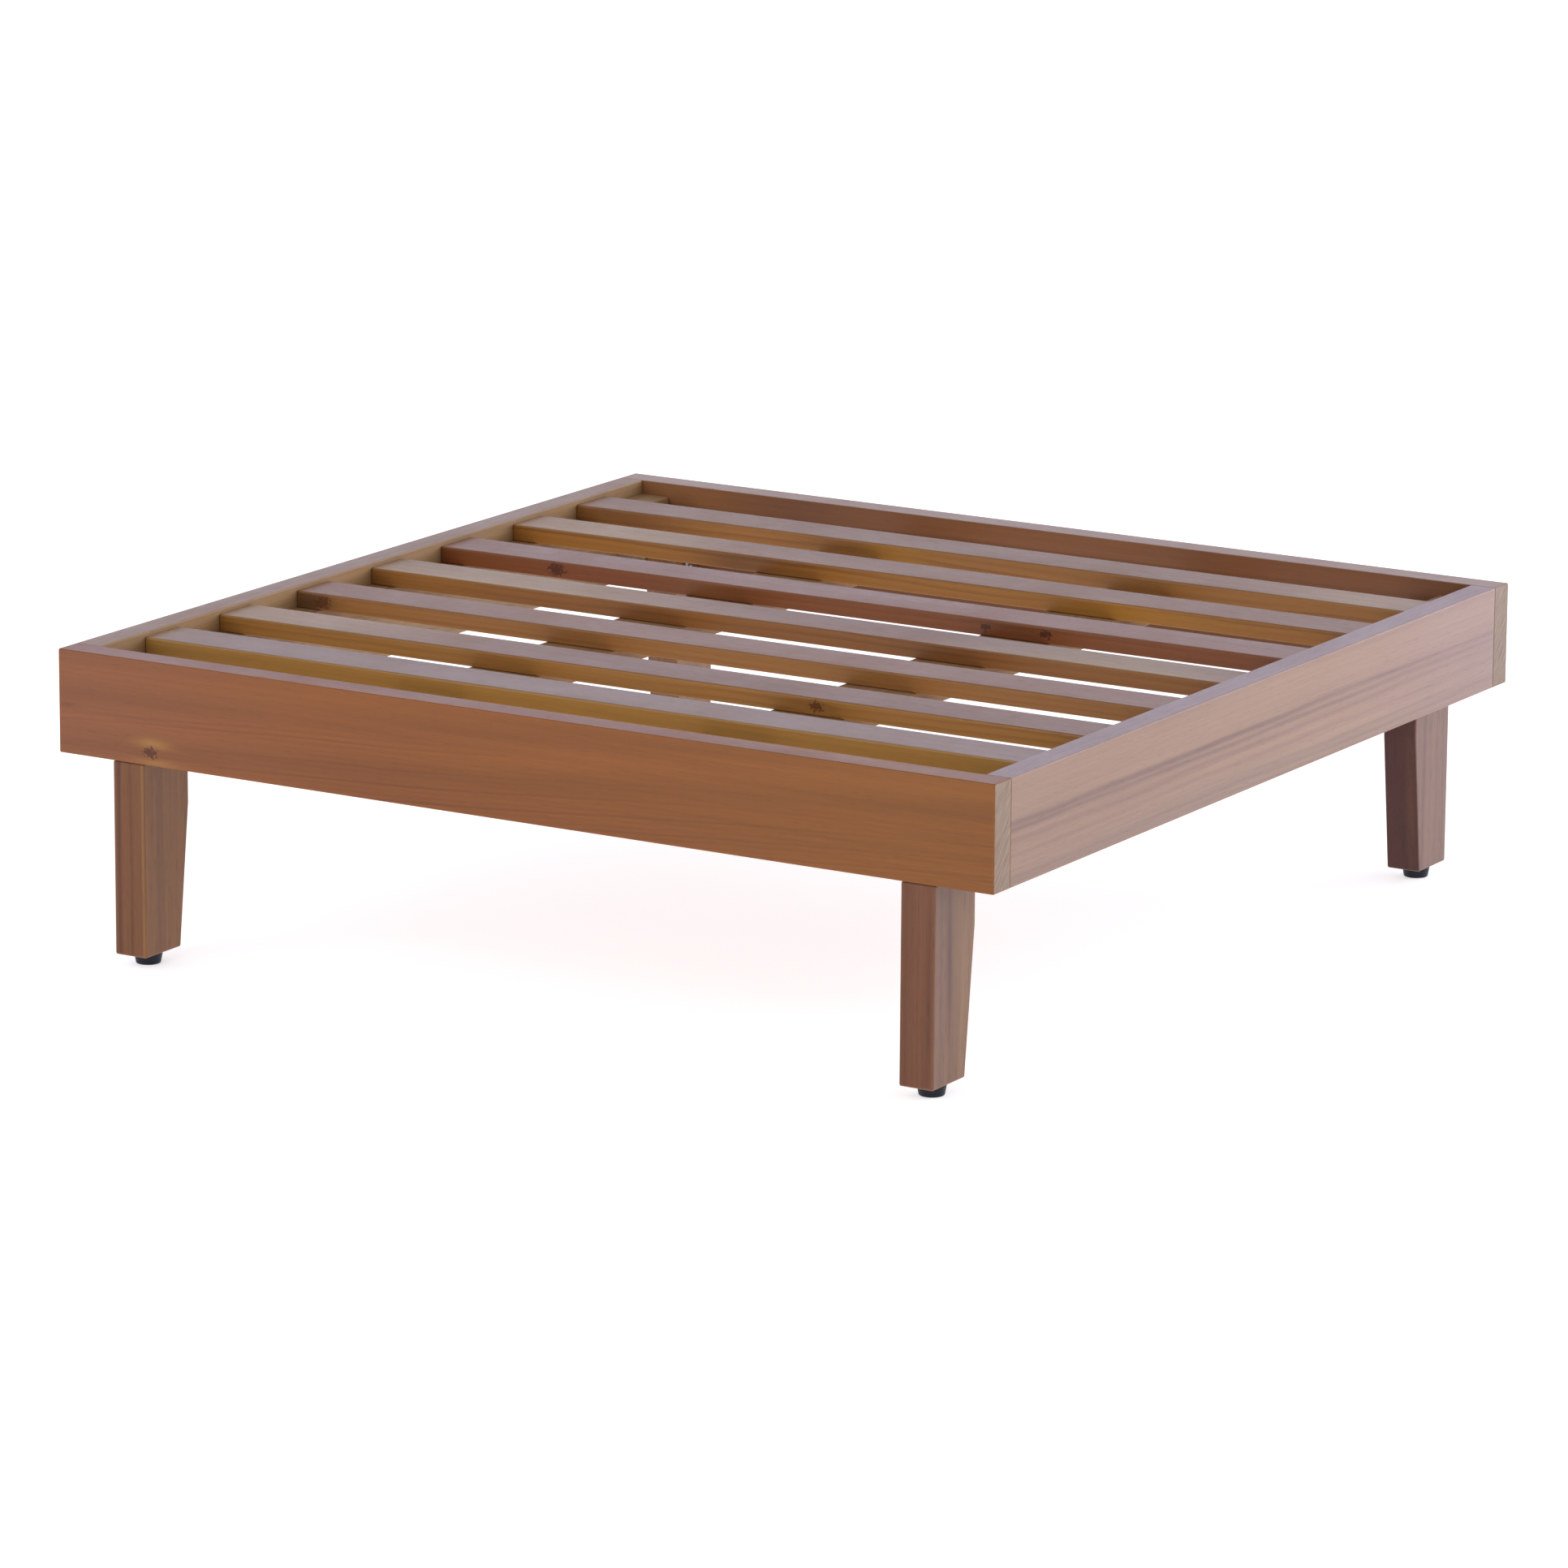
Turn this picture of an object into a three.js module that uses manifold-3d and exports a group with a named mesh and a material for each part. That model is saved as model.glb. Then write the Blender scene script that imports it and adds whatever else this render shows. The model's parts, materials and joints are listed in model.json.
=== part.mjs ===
// Low square slatted bed frame: four rail boards, seven slats on side ledgers,
// two laths under the slats, four notched legs and four screw-in levelling feet.
// Millimetres, +Z up, front towards -Y. The origin is on the floor under the middle.

import * as THREE from 'three';
import { mergeVertices } from 'three/addons/utils/BufferGeometryUtils.js';
import Module from 'manifold-3d';

const wasm = await Module();
wasm.setup();

// ---------- Driving dimensions ----------

// Whole frame
const frameWidth = 800;
const frameDepth = 800;
const frameHeight = 237;
const fitGap = 0.3; // clearance wherever one piece seats on another

// Rail boards on edge; the front and back ones run the full width
const boardHeight = 79;
const longBoardThickness = 23; // front and back
const sideBoardThickness = 21;
const boardEase = 1;

// Slats across the frame
const slatCount = 7;
const slatWidth = 44;
const slatThickness = 13;
const slatEase = 1.5;
const slatShifts = [2, -2, 1, 3, 1, 5, 0]; // hand-laid: backwards from even spacing, front slat first
const slatRecess = 3.6; // slat tops below the board tops
const slatEndClearance = 0.5;

// Laths from front to back under the slats
const lathWidth = 60;
const lathThickness = 14;
const lathEase = 1;
const lathOverhang = 20; // past the first and the last slat
const leftLathOffset = -121; // lath centres, from the middle of the frame
const rightLathOffset = 142;

// Ledgers that carry the slat ends
const ledgerThickness = 22;
const ledgerHeight = 20;
const ledgerEase = 1;

// Corner blocks between the side boards and the legs
const blockLength = 38;
const blockThickness = 26;
const blockTopDrop = 11; // block tops below the board tops
const blockBottomLift = 8; // block bottoms above the board bottoms
const blockEase = 1;

// Legs, notched to stand behind and under the front and back boards
const legWidth = 28;
const legDepth = 57;
const legFootDepth = 45;
const legEase = 1.5;
const legFaceSetback = 1.5; // leg face behind the board face
const legTopDrop = 20; // leg tops below the board tops
const taperDrop = 40; // taper start below the board bottoms

// Connector bolts through each leg, and the insert nuts they turn into
const boltRadius = 3;
const boltHeadRadius = 6.5;
const boltHeadHeight = 3.4;
const boltGrip = 13; // bolt length past the leg
const boltChamfer = 0.6;
const boltHeadDome = 2; // height of the head's rounded edge
const socketRadius = 2.3;
const socketDepth = 2;
const insertRadius = 5;
const insertLength = 12;
const insertHoleDepth = 15;

// Levelling feet
const padHeight = 9;
const padTopRadius = 11;
const padBottomRadius = 9.5;
const padRounding = 1.2;
const padSocketDepth = 5;
const stemRadius = 4;
const stemLength = 34; // above the top of the pad
const footInsertRadius = 6;
const footInsertLength = 16;
const stemHoleSpare = 4; // empty hole above a fully turned-in stem
const threadClearance = 0.08;

const roundSides = 24;
const easeSteps = 2;

// ---------- Heights and positions that follow from them ----------

const boardBottom = frameHeight - boardHeight;
const boardMiddle = boardBottom + boardHeight / 2;
const innerWidth = frameWidth - 2 * sideBoardThickness;
const innerDepth = frameDepth - 2 * longBoardThickness;
const slatTop = frameHeight - slatRecess;
const slatBottom = slatTop - slatThickness;
const slatGap = (innerDepth - slatCount * slatWidth) / (slatCount + 1);
const slatPitch = slatWidth + slatGap;
const firstSlatFront = -innerDepth / 2 + slatGap;
const deckDepth = slatCount * slatPitch - slatGap;
const blockHeight = boardHeight - blockTopDrop - blockBottomLift;
const blockMiddle = boardBottom + blockBottomLift + blockHeight / 2;
const ledgerLength = innerDepth - 2 * (blockLength + 2 * fitGap);
const legTop = frameHeight - legTopDrop;
const legBottom = padHeight + fitGap;
const tongueHeight = legTop - boardBottom;
const tongueFront = longBoardThickness + fitGap; // inwards from the board face
const tongueMiddle = (tongueFront + legFaceSetback + legDepth) / 2;
const legOuterInset = sideBoardThickness + blockThickness + 2 * fitGap; // inwards from the side face
const stemFullLength = stemLength + padSocketDepth - fitGap;
const stemHoleDepth = stemLength - fitGap + stemHoleSpare;

// ---------- Materials ----------

function finish(color, roughness, metalness) {
  return new THREE.MeshStandardMaterial({ color, roughness, metalness });
}

const railWood = finish(0x915d3c, 0.55, 0);
const slatWood = finish(0x8c6237, 0.55, 0);
const legWood = finish(0x85603f, 0.55, 0);
const roughWood = finish(0xa08763, 0.7, 0);
const blackPlastic = finish(0x16171c, 0.5, 0);
const zincSteel = finish(0xb9bcc0, 0.35, 0.9);
const brass = finish(0xb08d4a, 0.4, 0.9);

// ---------- Shape helpers ----------

const alongX = new THREE.Matrix4().makeBasis(
  new THREE.Vector3(0, 1, 0),
  new THREE.Vector3(0, 0, 1),
  new THREE.Vector3(1, 0, 0),
);
const alongY = new THREE.Matrix4().makeBasis(
  new THREE.Vector3(0, 0, 1),
  new THREE.Vector3(1, 0, 0),
  new THREE.Vector3(0, 1, 0),
);

function toSolid(geometry) {
  const bare = geometry.clone();
  bare.deleteAttribute('normal');
  bare.deleteAttribute('uv');
  const merged = mergeVertices(bare, 1e-4);
  const vertProperties = new Float32Array(merged.attributes.position.array);
  const triVerts = new Uint32Array(merged.index.array);
  return new wasm.Manifold(new wasm.Mesh({ numProp: 3, vertProperties, triVerts }));
}

function toGeometry(solid) {
  const mesh = solid.getMesh();
  const geometry = new THREE.BufferGeometry();
  geometry.setAttribute('position', new THREE.BufferAttribute(mesh.vertProperties, 3));
  geometry.setIndex(new THREE.BufferAttribute(mesh.triVerts, 1));
  geometry.computeVertexNormals();
  return geometry;
}

function cut(geometry, tools) {
  let solid = toSolid(geometry);
  for (const tool of tools) {
    solid = solid.subtract(toSolid(tool));
  }
  return toGeometry(solid);
}

// A rectangle centred on its own middle, with quarter-round corners.
function easedRectangle(width, height, ease) {
  const x = width / 2;
  const y = height / 2;
  const shape = new THREE.Shape();
  shape.moveTo(-x + ease, -y);
  shape.lineTo(x - ease, -y);
  shape.absarc(x - ease, -y + ease, ease, -Math.PI / 2, 0);
  shape.lineTo(x, y - ease);
  shape.absarc(x - ease, y - ease, ease, 0, Math.PI / 2);
  shape.lineTo(-x + ease, y);
  shape.absarc(-x + ease, y - ease, ease, Math.PI / 2, Math.PI);
  shape.lineTo(-x, -y + ease);
  shape.absarc(-x + ease, -y + ease, ease, Math.PI, 1.5 * Math.PI);
  return shape;
}

// A straight bar with eased long edges, centred on its own middle.
function bar(length, across, height, ease, direction) {
  const section = direction === alongX
    ? easedRectangle(across, height, ease)
    : easedRectangle(height, across, ease);
  const geometry = new THREE.ExtrudeGeometry(section, {
    depth: length,
    bevelEnabled: false,
    curveSegments: easeSteps,
  });
  geometry.translate(0, 0, -length / 2);
  geometry.applyMatrix4(direction);
  return geometry;
}

// A body of revolution about local Y; the profile starts and ends on the axis.
function turned(profile) {
  const points = profile.map(([radius, y]) => new THREE.Vector2(radius, y));
  return toGeometry(toSolid(new THREE.LatheGeometry(points, roundSides)));
}

function roundBar(radius, length) {
  return new THREE.CylinderGeometry(radius, radius, length, roundSides);
}

function place(parent, name, geometry, material, x, y, z) {
  const mesh = new THREE.Mesh(geometry, material);
  mesh.name = name;
  mesh.position.set(x, y, z);
  parent.add(mesh);
  return mesh;
}

// ---------- Rails, ledgers and deck ----------

function addRails(frame) {
  const longBoard = bar(frameWidth, longBoardThickness, boardHeight, boardEase, alongX);
  const longBoardY = frameDepth / 2 - longBoardThickness / 2;
  place(frame, 'front_board', longBoard, railWood, 0, -longBoardY, boardMiddle);
  place(frame, 'back_board', longBoard, railWood, 0, longBoardY, boardMiddle);

  const sideBoardLength = innerDepth - 2 * fitGap;
  const sideBoard = bar(sideBoardLength, sideBoardThickness, boardHeight, boardEase, alongY);
  const sideBoardX = frameWidth / 2 - sideBoardThickness / 2;
  place(frame, 'left_board', sideBoard, railWood, -sideBoardX, 0, boardMiddle);
  place(frame, 'right_board', sideBoard, railWood, sideBoardX, 0, boardMiddle);
}

function addLedgers(frame) {
  const ledger = bar(ledgerLength, ledgerThickness, ledgerHeight, ledgerEase, alongY);
  const x = innerWidth / 2 - fitGap - ledgerThickness / 2;
  const z = slatBottom - fitGap - ledgerHeight / 2;
  place(frame, 'left_ledger', ledger, roughWood, -x, 0, z);
  place(frame, 'right_ledger', ledger, roughWood, x, 0, z);
}

function addSlats(frame) {
  const slat = bar(innerWidth - 2 * slatEndClearance, slatWidth, slatThickness, slatEase, alongX);
  for (let i = 0; i < slatCount; i += 1) {
    const y = firstSlatFront + slatWidth / 2 + i * slatPitch + (slatShifts[i] ?? 0);
    place(frame, `slat_${i + 1}`, slat, slatWood, 0, y, slatTop - slatThickness / 2);
  }
}

function addLaths(frame) {
  const lath = bar(deckDepth + 2 * lathOverhang, lathWidth, lathThickness, lathEase, alongY);
  const z = slatBottom - fitGap - lathThickness / 2;
  place(frame, 'left_lath', lath, roughWood, leftLathOffset, 0, z);
  place(frame, 'right_lath', lath, roughWood, rightLathOffset, 0, z);
}

// ---------- One corner: block, leg, bolts and foot ----------

// Bolt centres up the leg's tongue, at its quarter points.
const boltHeights = {
  lower: boardBottom + tongueHeight / 4,
  upper: boardBottom + (3 * tongueHeight) / 4,
};

// The leg's outline in Y and Z: face at y = 0, inside towards +y, foot at z = 0.
function legOutline() {
  const shoulder = boardBottom - fitGap - legBottom;
  const top = legTop - legBottom;
  const notch = tongueFront - legFaceSetback;
  const shape = new THREE.Shape();
  shape.moveTo(0, 0);
  shape.lineTo(legFootDepth, 0);
  shape.lineTo(legDepth, boardBottom - taperDrop - legBottom);
  shape.lineTo(legDepth, top);
  shape.lineTo(notch, top);
  shape.lineTo(notch, shoulder);
  shape.lineTo(0, shoulder);
  shape.closePath();
  return shape;
}

function legGeometry() {
  const blank = new THREE.ExtrudeGeometry(legOutline(), {
    depth: legWidth - 2 * legEase,
    bevelEnabled: true,
    bevelThickness: legEase,
    bevelSize: legEase,
    bevelOffset: -legEase,
    bevelSegments: easeSteps,
  });
  blank.translate(0, 0, legEase - legWidth / 2);
  blank.applyMatrix4(alongX);

  const tools = Object.values(boltHeights).map((height) => {
    const hole = roundBar(boltRadius + fitGap, 2 * legWidth);
    hole.rotateZ(Math.PI / 2);
    hole.translate(0, tongueMiddle - legFaceSetback, height - legBottom);
    return hole;
  });
  const insertHole = roundBar(footInsertRadius + fitGap, 2 * (footInsertLength + fitGap));
  const stemHole = roundBar(stemRadius + fitGap, 2 * stemHoleDepth);
  for (const hole of [insertHole, stemHole]) {
    hole.rotateX(Math.PI / 2);
    hole.translate(0, legFootDepth / 2, 0);
    tools.push(hole);
  }
  return cut(blank, tools);
}

// The block, with the blind holes for the insert nuts in its +X face. The holes stand
// off the middle of the block, so lengthwise is +1 or -1 for the two hands.
function blockGeometry(lengthwise) {
  const blank = bar(blockLength, blockThickness, blockHeight, blockEase, alongY);
  const tools = Object.values(boltHeights).map((height) => {
    const hole = roundBar(insertRadius + fitGap, 2 * insertHoleDepth);
    hole.rotateZ(Math.PI / 2);
    const y = tongueMiddle - tongueFront - blockLength / 2;
    hole.translate(blockThickness / 2, lengthwise * y, height - blockMiddle);
    return hole;
  });
  return cut(blank, tools);
}

// Head on +Y, shank down to -Y, with a hexagon socket.
function boltGeometry() {
  const length = legWidth + 2 * fitGap + boltGrip;
  const blank = turned([
    [0, -length],
    [boltRadius - boltChamfer, -length],
    [boltRadius, -length + boltChamfer],
    [boltRadius, 0],
    [boltHeadRadius, 0],
    [boltHeadRadius, boltHeadHeight - boltHeadDome],
    [boltHeadRadius * 0.9, boltHeadHeight - boltHeadDome / 2],
    [boltHeadRadius * 0.6, boltHeadHeight],
    [0, boltHeadHeight],
  ]);
  const socket = new THREE.CylinderGeometry(socketRadius, socketRadius, 2 * socketDepth, 6);
  socket.translate(0, boltHeadHeight, 0);
  return cut(blank, [socket]);
}

function ringGeometry(outerRadius, boreRadius, length) {
  return cut(roundBar(outerRadius, length), [roundBar(boreRadius, 2 * length)]);
}

// Top face at y = 0; the rounded lower edge meets a flat sole.
function padGeometry() {
  const profile = [[0, -padHeight]];
  const centre = padBottomRadius - padRounding;
  for (let step = 0; step <= 2 * easeSteps; step += 1) {
    const angle = (step / (2 * easeSteps)) * (Math.PI / 2);
    profile.push([
      centre + padRounding * Math.sin(angle),
      -padHeight + padRounding * (1 - Math.cos(angle)),
    ]);
  }
  profile.push([padTopRadius, 0], [0, 0]);
  return cut(turned(profile), [roundBar(stemRadius + fitGap, 2 * padSocketDepth)]);
}

const leg = legGeometry();
const block = blockGeometry(1);
const mirroredBlock = blockGeometry(-1);
const bolt = boltGeometry();
const insertNut = ringGeometry(insertRadius, boltRadius + fitGap, insertLength);
const footInsert = ringGeometry(footInsertRadius, stemRadius + threadClearance, footInsertLength);
const stem = roundBar(stemRadius, stemFullLength);
const pad = padGeometry();

// side is -1 at the left and +1 at the right; end is -1 at the front and +1 at the back.
function addCorner(frame, corner, side, end) {
  const x = (inset) => side * (frameWidth / 2 - inset);
  const y = (inset) => end * (frameDepth / 2 - inset);

  const blockX = x(sideBoardThickness + fitGap + blockThickness / 2);
  const blockY = y(tongueFront + blockLength / 2);
  const hand = side === end ? block : mirroredBlock;
  const blockMesh = place(frame, `corner_block_${corner}`, hand, roughWood, blockX, blockY, blockMiddle);
  blockMesh.rotation.z = side > 0 ? Math.PI : 0;

  const legX = x(legOuterInset + legWidth / 2);
  const legMesh = place(frame, `leg_${corner}`, leg, legWood, legX, y(legFaceSetback), legBottom);
  legMesh.rotation.z = end > 0 ? Math.PI : 0;

  const boltX = x(legOuterInset + legWidth + fitGap);
  const nutX = x(legOuterInset - fitGap - insertLength / 2);
  const boltY = y(tongueMiddle);
  for (const [level, height] of Object.entries(boltHeights)) {
    const boltMesh = place(frame, `${level}_bolt_${corner}`, bolt, zincSteel, boltX, boltY, height);
    boltMesh.rotation.z = (side * Math.PI) / 2;
    const nutMesh = place(frame, `${level}_insert_${corner}`, insertNut, brass, nutX, boltY, height);
    nutMesh.rotation.z = Math.PI / 2;
  }

  const footY = y(legFaceSetback + legFootDepth / 2);
  const sleeveZ = legBottom + footInsertLength / 2;
  const stemZ = padHeight + stemLength - stemFullLength / 2;
  const foot = [
    place(frame, `foot_insert_${corner}`, footInsert, brass, legX, footY, sleeveZ),
    place(frame, `foot_stem_${corner}`, stem, zincSteel, legX, footY, stemZ),
    place(frame, `foot_pad_${corner}`, pad, blackPlastic, legX, footY, padHeight),
  ];
  for (const piece of foot) {
    piece.rotation.x = Math.PI / 2;
  }
}

// ---------- Assembly ----------

const bedFrame = new THREE.Group();
addRails(bedFrame);
addLedgers(bedFrame);
addSlats(bedFrame);
addLaths(bedFrame);
addCorner(bedFrame, 'front_left', -1, -1);
addCorner(bedFrame, 'front_right', 1, -1);
addCorner(bedFrame, 'back_left', -1, 1);
addCorner(bedFrame, 'back_right', 1, 1);

export default bedFrame;
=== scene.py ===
"""Looks for a low slatted bed frame in satin hardwood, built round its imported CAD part.

Metres, +Z up, front towards -Y, the origin on the floor under the middle. Every piece
takes its place and its size from the CAD node that it stands for.
"""

import json
import logging
import math
from dataclasses import dataclass, field, replace
from enum import Enum
from typing import Optional, Sequence, Union

import bmesh
import bpy
from mathutils import Matrix, Quaternion, Vector, noise


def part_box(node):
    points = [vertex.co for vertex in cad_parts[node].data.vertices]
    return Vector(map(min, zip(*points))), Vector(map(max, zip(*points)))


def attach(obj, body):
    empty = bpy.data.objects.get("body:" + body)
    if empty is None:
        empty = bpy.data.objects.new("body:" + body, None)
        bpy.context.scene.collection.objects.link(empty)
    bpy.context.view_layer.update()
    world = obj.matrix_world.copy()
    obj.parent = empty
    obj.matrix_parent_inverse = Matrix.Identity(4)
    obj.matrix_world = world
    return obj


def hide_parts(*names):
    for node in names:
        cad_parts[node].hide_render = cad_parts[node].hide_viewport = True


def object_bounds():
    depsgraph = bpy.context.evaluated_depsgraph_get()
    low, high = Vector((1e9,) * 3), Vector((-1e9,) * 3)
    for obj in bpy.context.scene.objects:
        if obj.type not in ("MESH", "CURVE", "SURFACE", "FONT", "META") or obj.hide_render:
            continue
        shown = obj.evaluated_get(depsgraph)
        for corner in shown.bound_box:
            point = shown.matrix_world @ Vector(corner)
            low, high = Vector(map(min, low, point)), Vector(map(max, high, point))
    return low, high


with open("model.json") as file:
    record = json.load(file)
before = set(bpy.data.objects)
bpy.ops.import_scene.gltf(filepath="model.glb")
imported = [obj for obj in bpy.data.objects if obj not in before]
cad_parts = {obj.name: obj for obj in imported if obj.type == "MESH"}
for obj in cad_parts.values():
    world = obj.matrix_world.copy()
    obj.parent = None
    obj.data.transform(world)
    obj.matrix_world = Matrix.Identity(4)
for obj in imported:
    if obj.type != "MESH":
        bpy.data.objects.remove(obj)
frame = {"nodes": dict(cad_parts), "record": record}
cad_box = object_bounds()

log = logging.getLogger("bed_frame")

Triple = tuple[float, float, float]
Number = Union["Wire", float]
Profile = list[tuple[float, float]]  # radius and height of each ring, from one end to the other

MM = 0.001
QUARTER_TURN = math.pi / 2
MIX_FIRST, MIX_SECOND, MIX_RESULT = 6, 7, 2  # the colour sockets of a Mix node
CORNERS = ("front_left", "front_right", "back_left", "back_right")
LEVELS = ("lower", "upper")


# ---------------------------------------------------------------- shader building


class Wire:
    """A node's output socket, whose arithmetic adds the nodes that it needs."""

    def __init__(self, graph: "Graph", socket: bpy.types.NodeSocket) -> None:
        """Wraps one socket.

        Args:
            graph: The graph that the socket belongs to.
            socket: The output socket.
        """
        self.graph = graph
        self.socket = socket

    def _maths(self, operation: str, first: object, second: object) -> "Wire":
        """Adds a Math node, or a Vector Math node where this wire is a vector.

        Args:
            operation: The node's operation.
            first: The left value or wire.
            second: The right value or wire.

        Returns:
            The node's output.
        """
        flat = self.socket.type != "VECTOR"
        kind = "ShaderNodeMath" if flat else "ShaderNodeVectorMath"
        return self.graph.node(kind, {"operation": operation}, {0: first, 1: second})

    def __add__(self, other: object) -> "Wire":
        """Returns self + other."""
        return self._maths("ADD", self, other)

    def __radd__(self, other: object) -> "Wire":
        """Returns other + self."""
        return self._maths("ADD", other, self)

    def __sub__(self, other: object) -> "Wire":
        """Returns self - other."""
        return self._maths("SUBTRACT", self, other)

    def __rsub__(self, other: object) -> "Wire":
        """Returns other - self."""
        return self._maths("SUBTRACT", other, self)

    def __mul__(self, other: object) -> "Wire":
        """Returns self * other."""
        return self._maths("MULTIPLY", self, other)

    def __rmul__(self, other: object) -> "Wire":
        """Returns other * self."""
        return self._maths("MULTIPLY", other, self)

    def __truediv__(self, other: object) -> "Wire":
        """Returns self / other."""
        return self._maths("DIVIDE", self, other)

    def __pow__(self, other: object) -> "Wire":
        """Returns self ** other."""
        return self._maths("POWER", self, other)

    def __abs__(self) -> "Wire":
        """Returns the distance of self from zero."""
        return self.graph.node("ShaderNodeMath", {"operation": "ABSOLUTE"}, {0: self})


class Graph:
    """Adds nodes to one node tree and joins them."""

    def __init__(self, tree: bpy.types.NodeTree) -> None:
        """Empties the tree.

        Args:
            tree: The tree of a material or a world.
        """
        self.tree = tree
        tree.nodes.clear()

    def node(self, kind: str, settings: Optional[dict] = None,
             inputs: Optional[dict] = None, output: Union[int, str] = 0,
             ) -> Optional[Wire]:
        """Adds one node.

        Args:
            kind: The node's type.
            settings: Its settings, which are set first.
            inputs: A value or a wire for each named or numbered input.
            output: The output to return.

        Returns:
            The chosen output, or None where the node has none.
        """
        made = self.tree.nodes.new(kind)
        for key, value in (settings or {}).items():
            setattr(made, key, value)
        for key, value in (inputs or {}).items():
            socket = made.inputs[key]
            if isinstance(value, Wire):
                self.tree.links.new(value.socket, socket)
            elif socket.type == "RGBA":
                socket.default_value = (*value, 1.0)
            else:
                socket.default_value = value
        return Wire(self, made.outputs[output]) if made.outputs else None

    def parts(self, vector: Wire) -> tuple[Wire, Wire, Wire]:
        """Returns the three components of a vector."""
        made = self.node("ShaderNodeSeparateXYZ", {}, {0: vector}).socket.node
        return tuple(Wire(self, socket) for socket in made.outputs)

    def vector(self, x: Number, y: Number, z: Number) -> Wire:
        """Returns a vector of three values."""
        return self.node("ShaderNodeCombineXYZ", {}, {0: x, 1: y, 2: z})

    def maths(self, operation: str, *values: Number) -> Wire:
        """Returns a Math node's result, for what has no operator."""
        return self.node("ShaderNodeMath", {"operation": operation}, dict(enumerate(values)))

    def smooth(self, value: Wire, low: float, high: float) -> Wire:
        """Returns 0 at low and 1 at high, with a smooth step between."""
        return self.node(
            "ShaderNodeMapRange", {"interpolation_type": "SMOOTHSTEP"},
            {"Value": value, "From Min": low, "From Max": high})

    def place(self, kind: str = "Object") -> Wire:
        """Returns one of the surface's own coordinates."""
        return self.node("ShaderNodeTexCoord", {}, {}, kind)

    def speckle(self, place: Wire, detail: float = 0.0, scale: float = 1.0) -> Wire:
        """Returns 3-D noise from 0 to 1, finer by a scale than the place's own units."""
        return self.node(
            "ShaderNodeTexNoise", {}, {"Vector": place, "Scale": scale, "Detail": detail})

    def series(self, value: Wire, detail: float = 0.0) -> Wire:
        """Returns noise from 0 to 1 along one value."""
        return self.node(
            "ShaderNodeTexNoise", {"noise_dimensions": "1D"},
            {"W": value, "Scale": 1.0, "Detail": detail})

    def mix(self, amount: Number, first: object, second: object) -> Wire:
        """Mixes two colours.

        Args:
            amount: How much of the second colour.
            first: The colour at 0.
            second: The colour at 1.

        Returns:
            The mixed colour.
        """
        return self.node(
            "ShaderNodeMix", {"data_type": "RGBA"},
            {0: amount, MIX_FIRST: first, MIX_SECOND: second}, output=MIX_RESULT)

    def scaled(self, colour: Wire, factor: Wire) -> Wire:
        """Returns a colour made lighter or darker by a factor."""
        return self.node(
            "ShaderNodeVectorMath", {"operation": "SCALE"}, {0: colour, "Scale": factor})

    def bump(self, height: Wire, strength: float, depth: float) -> Wire:
        """Returns the surface's normal, tilted by a height of 0 to 1 times a depth."""
        return self.node(
            "ShaderNodeBump", {}, {"Strength": strength, "Distance": depth, "Height": height})

    def surface(self, settings: dict[str, object]) -> None:
        """Ends the material in a principled shader.

        Args:
            settings: A value or a wire for each of the shader's sockets.
        """
        shader = self.node("ShaderNodeBsdfPrincipled", {}, settings)
        self.node("ShaderNodeOutputMaterial", {}, {"Surface": shader})


def new_material(name: str) -> tuple[bpy.types.Material, Graph]:
    """Makes an empty material.

    Args:
        name: The material's name.

    Returns:
        The material and the graph that fills it.
    """
    material = bpy.data.materials.new(name)
    material.use_nodes = True
    return material, Graph(material.node_tree)


# ---------------------------------------------------------------- finishes


class Grain(Enum):
    """The way that a piece of timber runs: its length, then its two cross axes."""

    ACROSS = (0, 1, 2)
    DEEP = (1, 0, 2)
    UPRIGHT = (2, 0, 1)
class Face(Enum):
    """A face that can have its own tint, by the way that it looks. A tint over a whole face paints
    light and shade by facing: a sheen on tops, shade on leg fronts.
    """

    TOP = (0.0, 0.0, 1.0)
    FRONT = (0.0, -1.0, 0.0)
    RIGHT = (1.0, 0.0, 0.0)


class Layer(Enum):
    """Noise drawn out along the grain: rates along it and across it per metre, and detail."""

    FIBRE = (9.0, 620.0, 2.0)
    STREAK = (3.2, 210.0, 3.0)
    VEIN = (1.4, 48.0, 2.0)
    PATCH = (2.4, 9.0, 1.0)
    PORE = (85.0, 2600.0, 0.0)


@dataclass(frozen=True)
class Knot:
    """A branch that meets a face, in metres from the middle of the piece."""

    along: float
    across: float  # on the second cross axis
    radius: float
    stretch: float = 1.5  # its length as a share of its width
    pull: float = 0.8  # how hard the grain bends round it
    spread: float = 0.16  # how fast that bend dies away
    grit: float = 420.0  # how fine its uneven edge is, per metre
    ragged: float = 3.2  # how uneven its edge is
    darkness: float = 0.8


@dataclass(frozen=True)
class Tint:
    """A soft streak, patch or face of another colour, in metres from the middle. A tint over a
    whole face is painted light: a painted sheen on tops, painted shade on leg fronts.
    """

    colour: Triple
    strength: float
    facing: Optional[Face] = None  # only on faces that look this way
    across: float = 0.0
    width: Optional[float] = None  # on the cross axis; None for the whole piece
    axis: int = 1  # the cross axis that it is placed on: 0 or 1
    along: float = 0.0
    reach: Optional[float] = None  # on the grain; None for the whole length
    wave: float = 0.003  # how far a streak strays


@dataclass(frozen=True)
class Stock:
    """The block of space that one piece of timber fills, for its grain and its edges."""

    middle: Vector
    half: Vector
    grain: Grain


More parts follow.
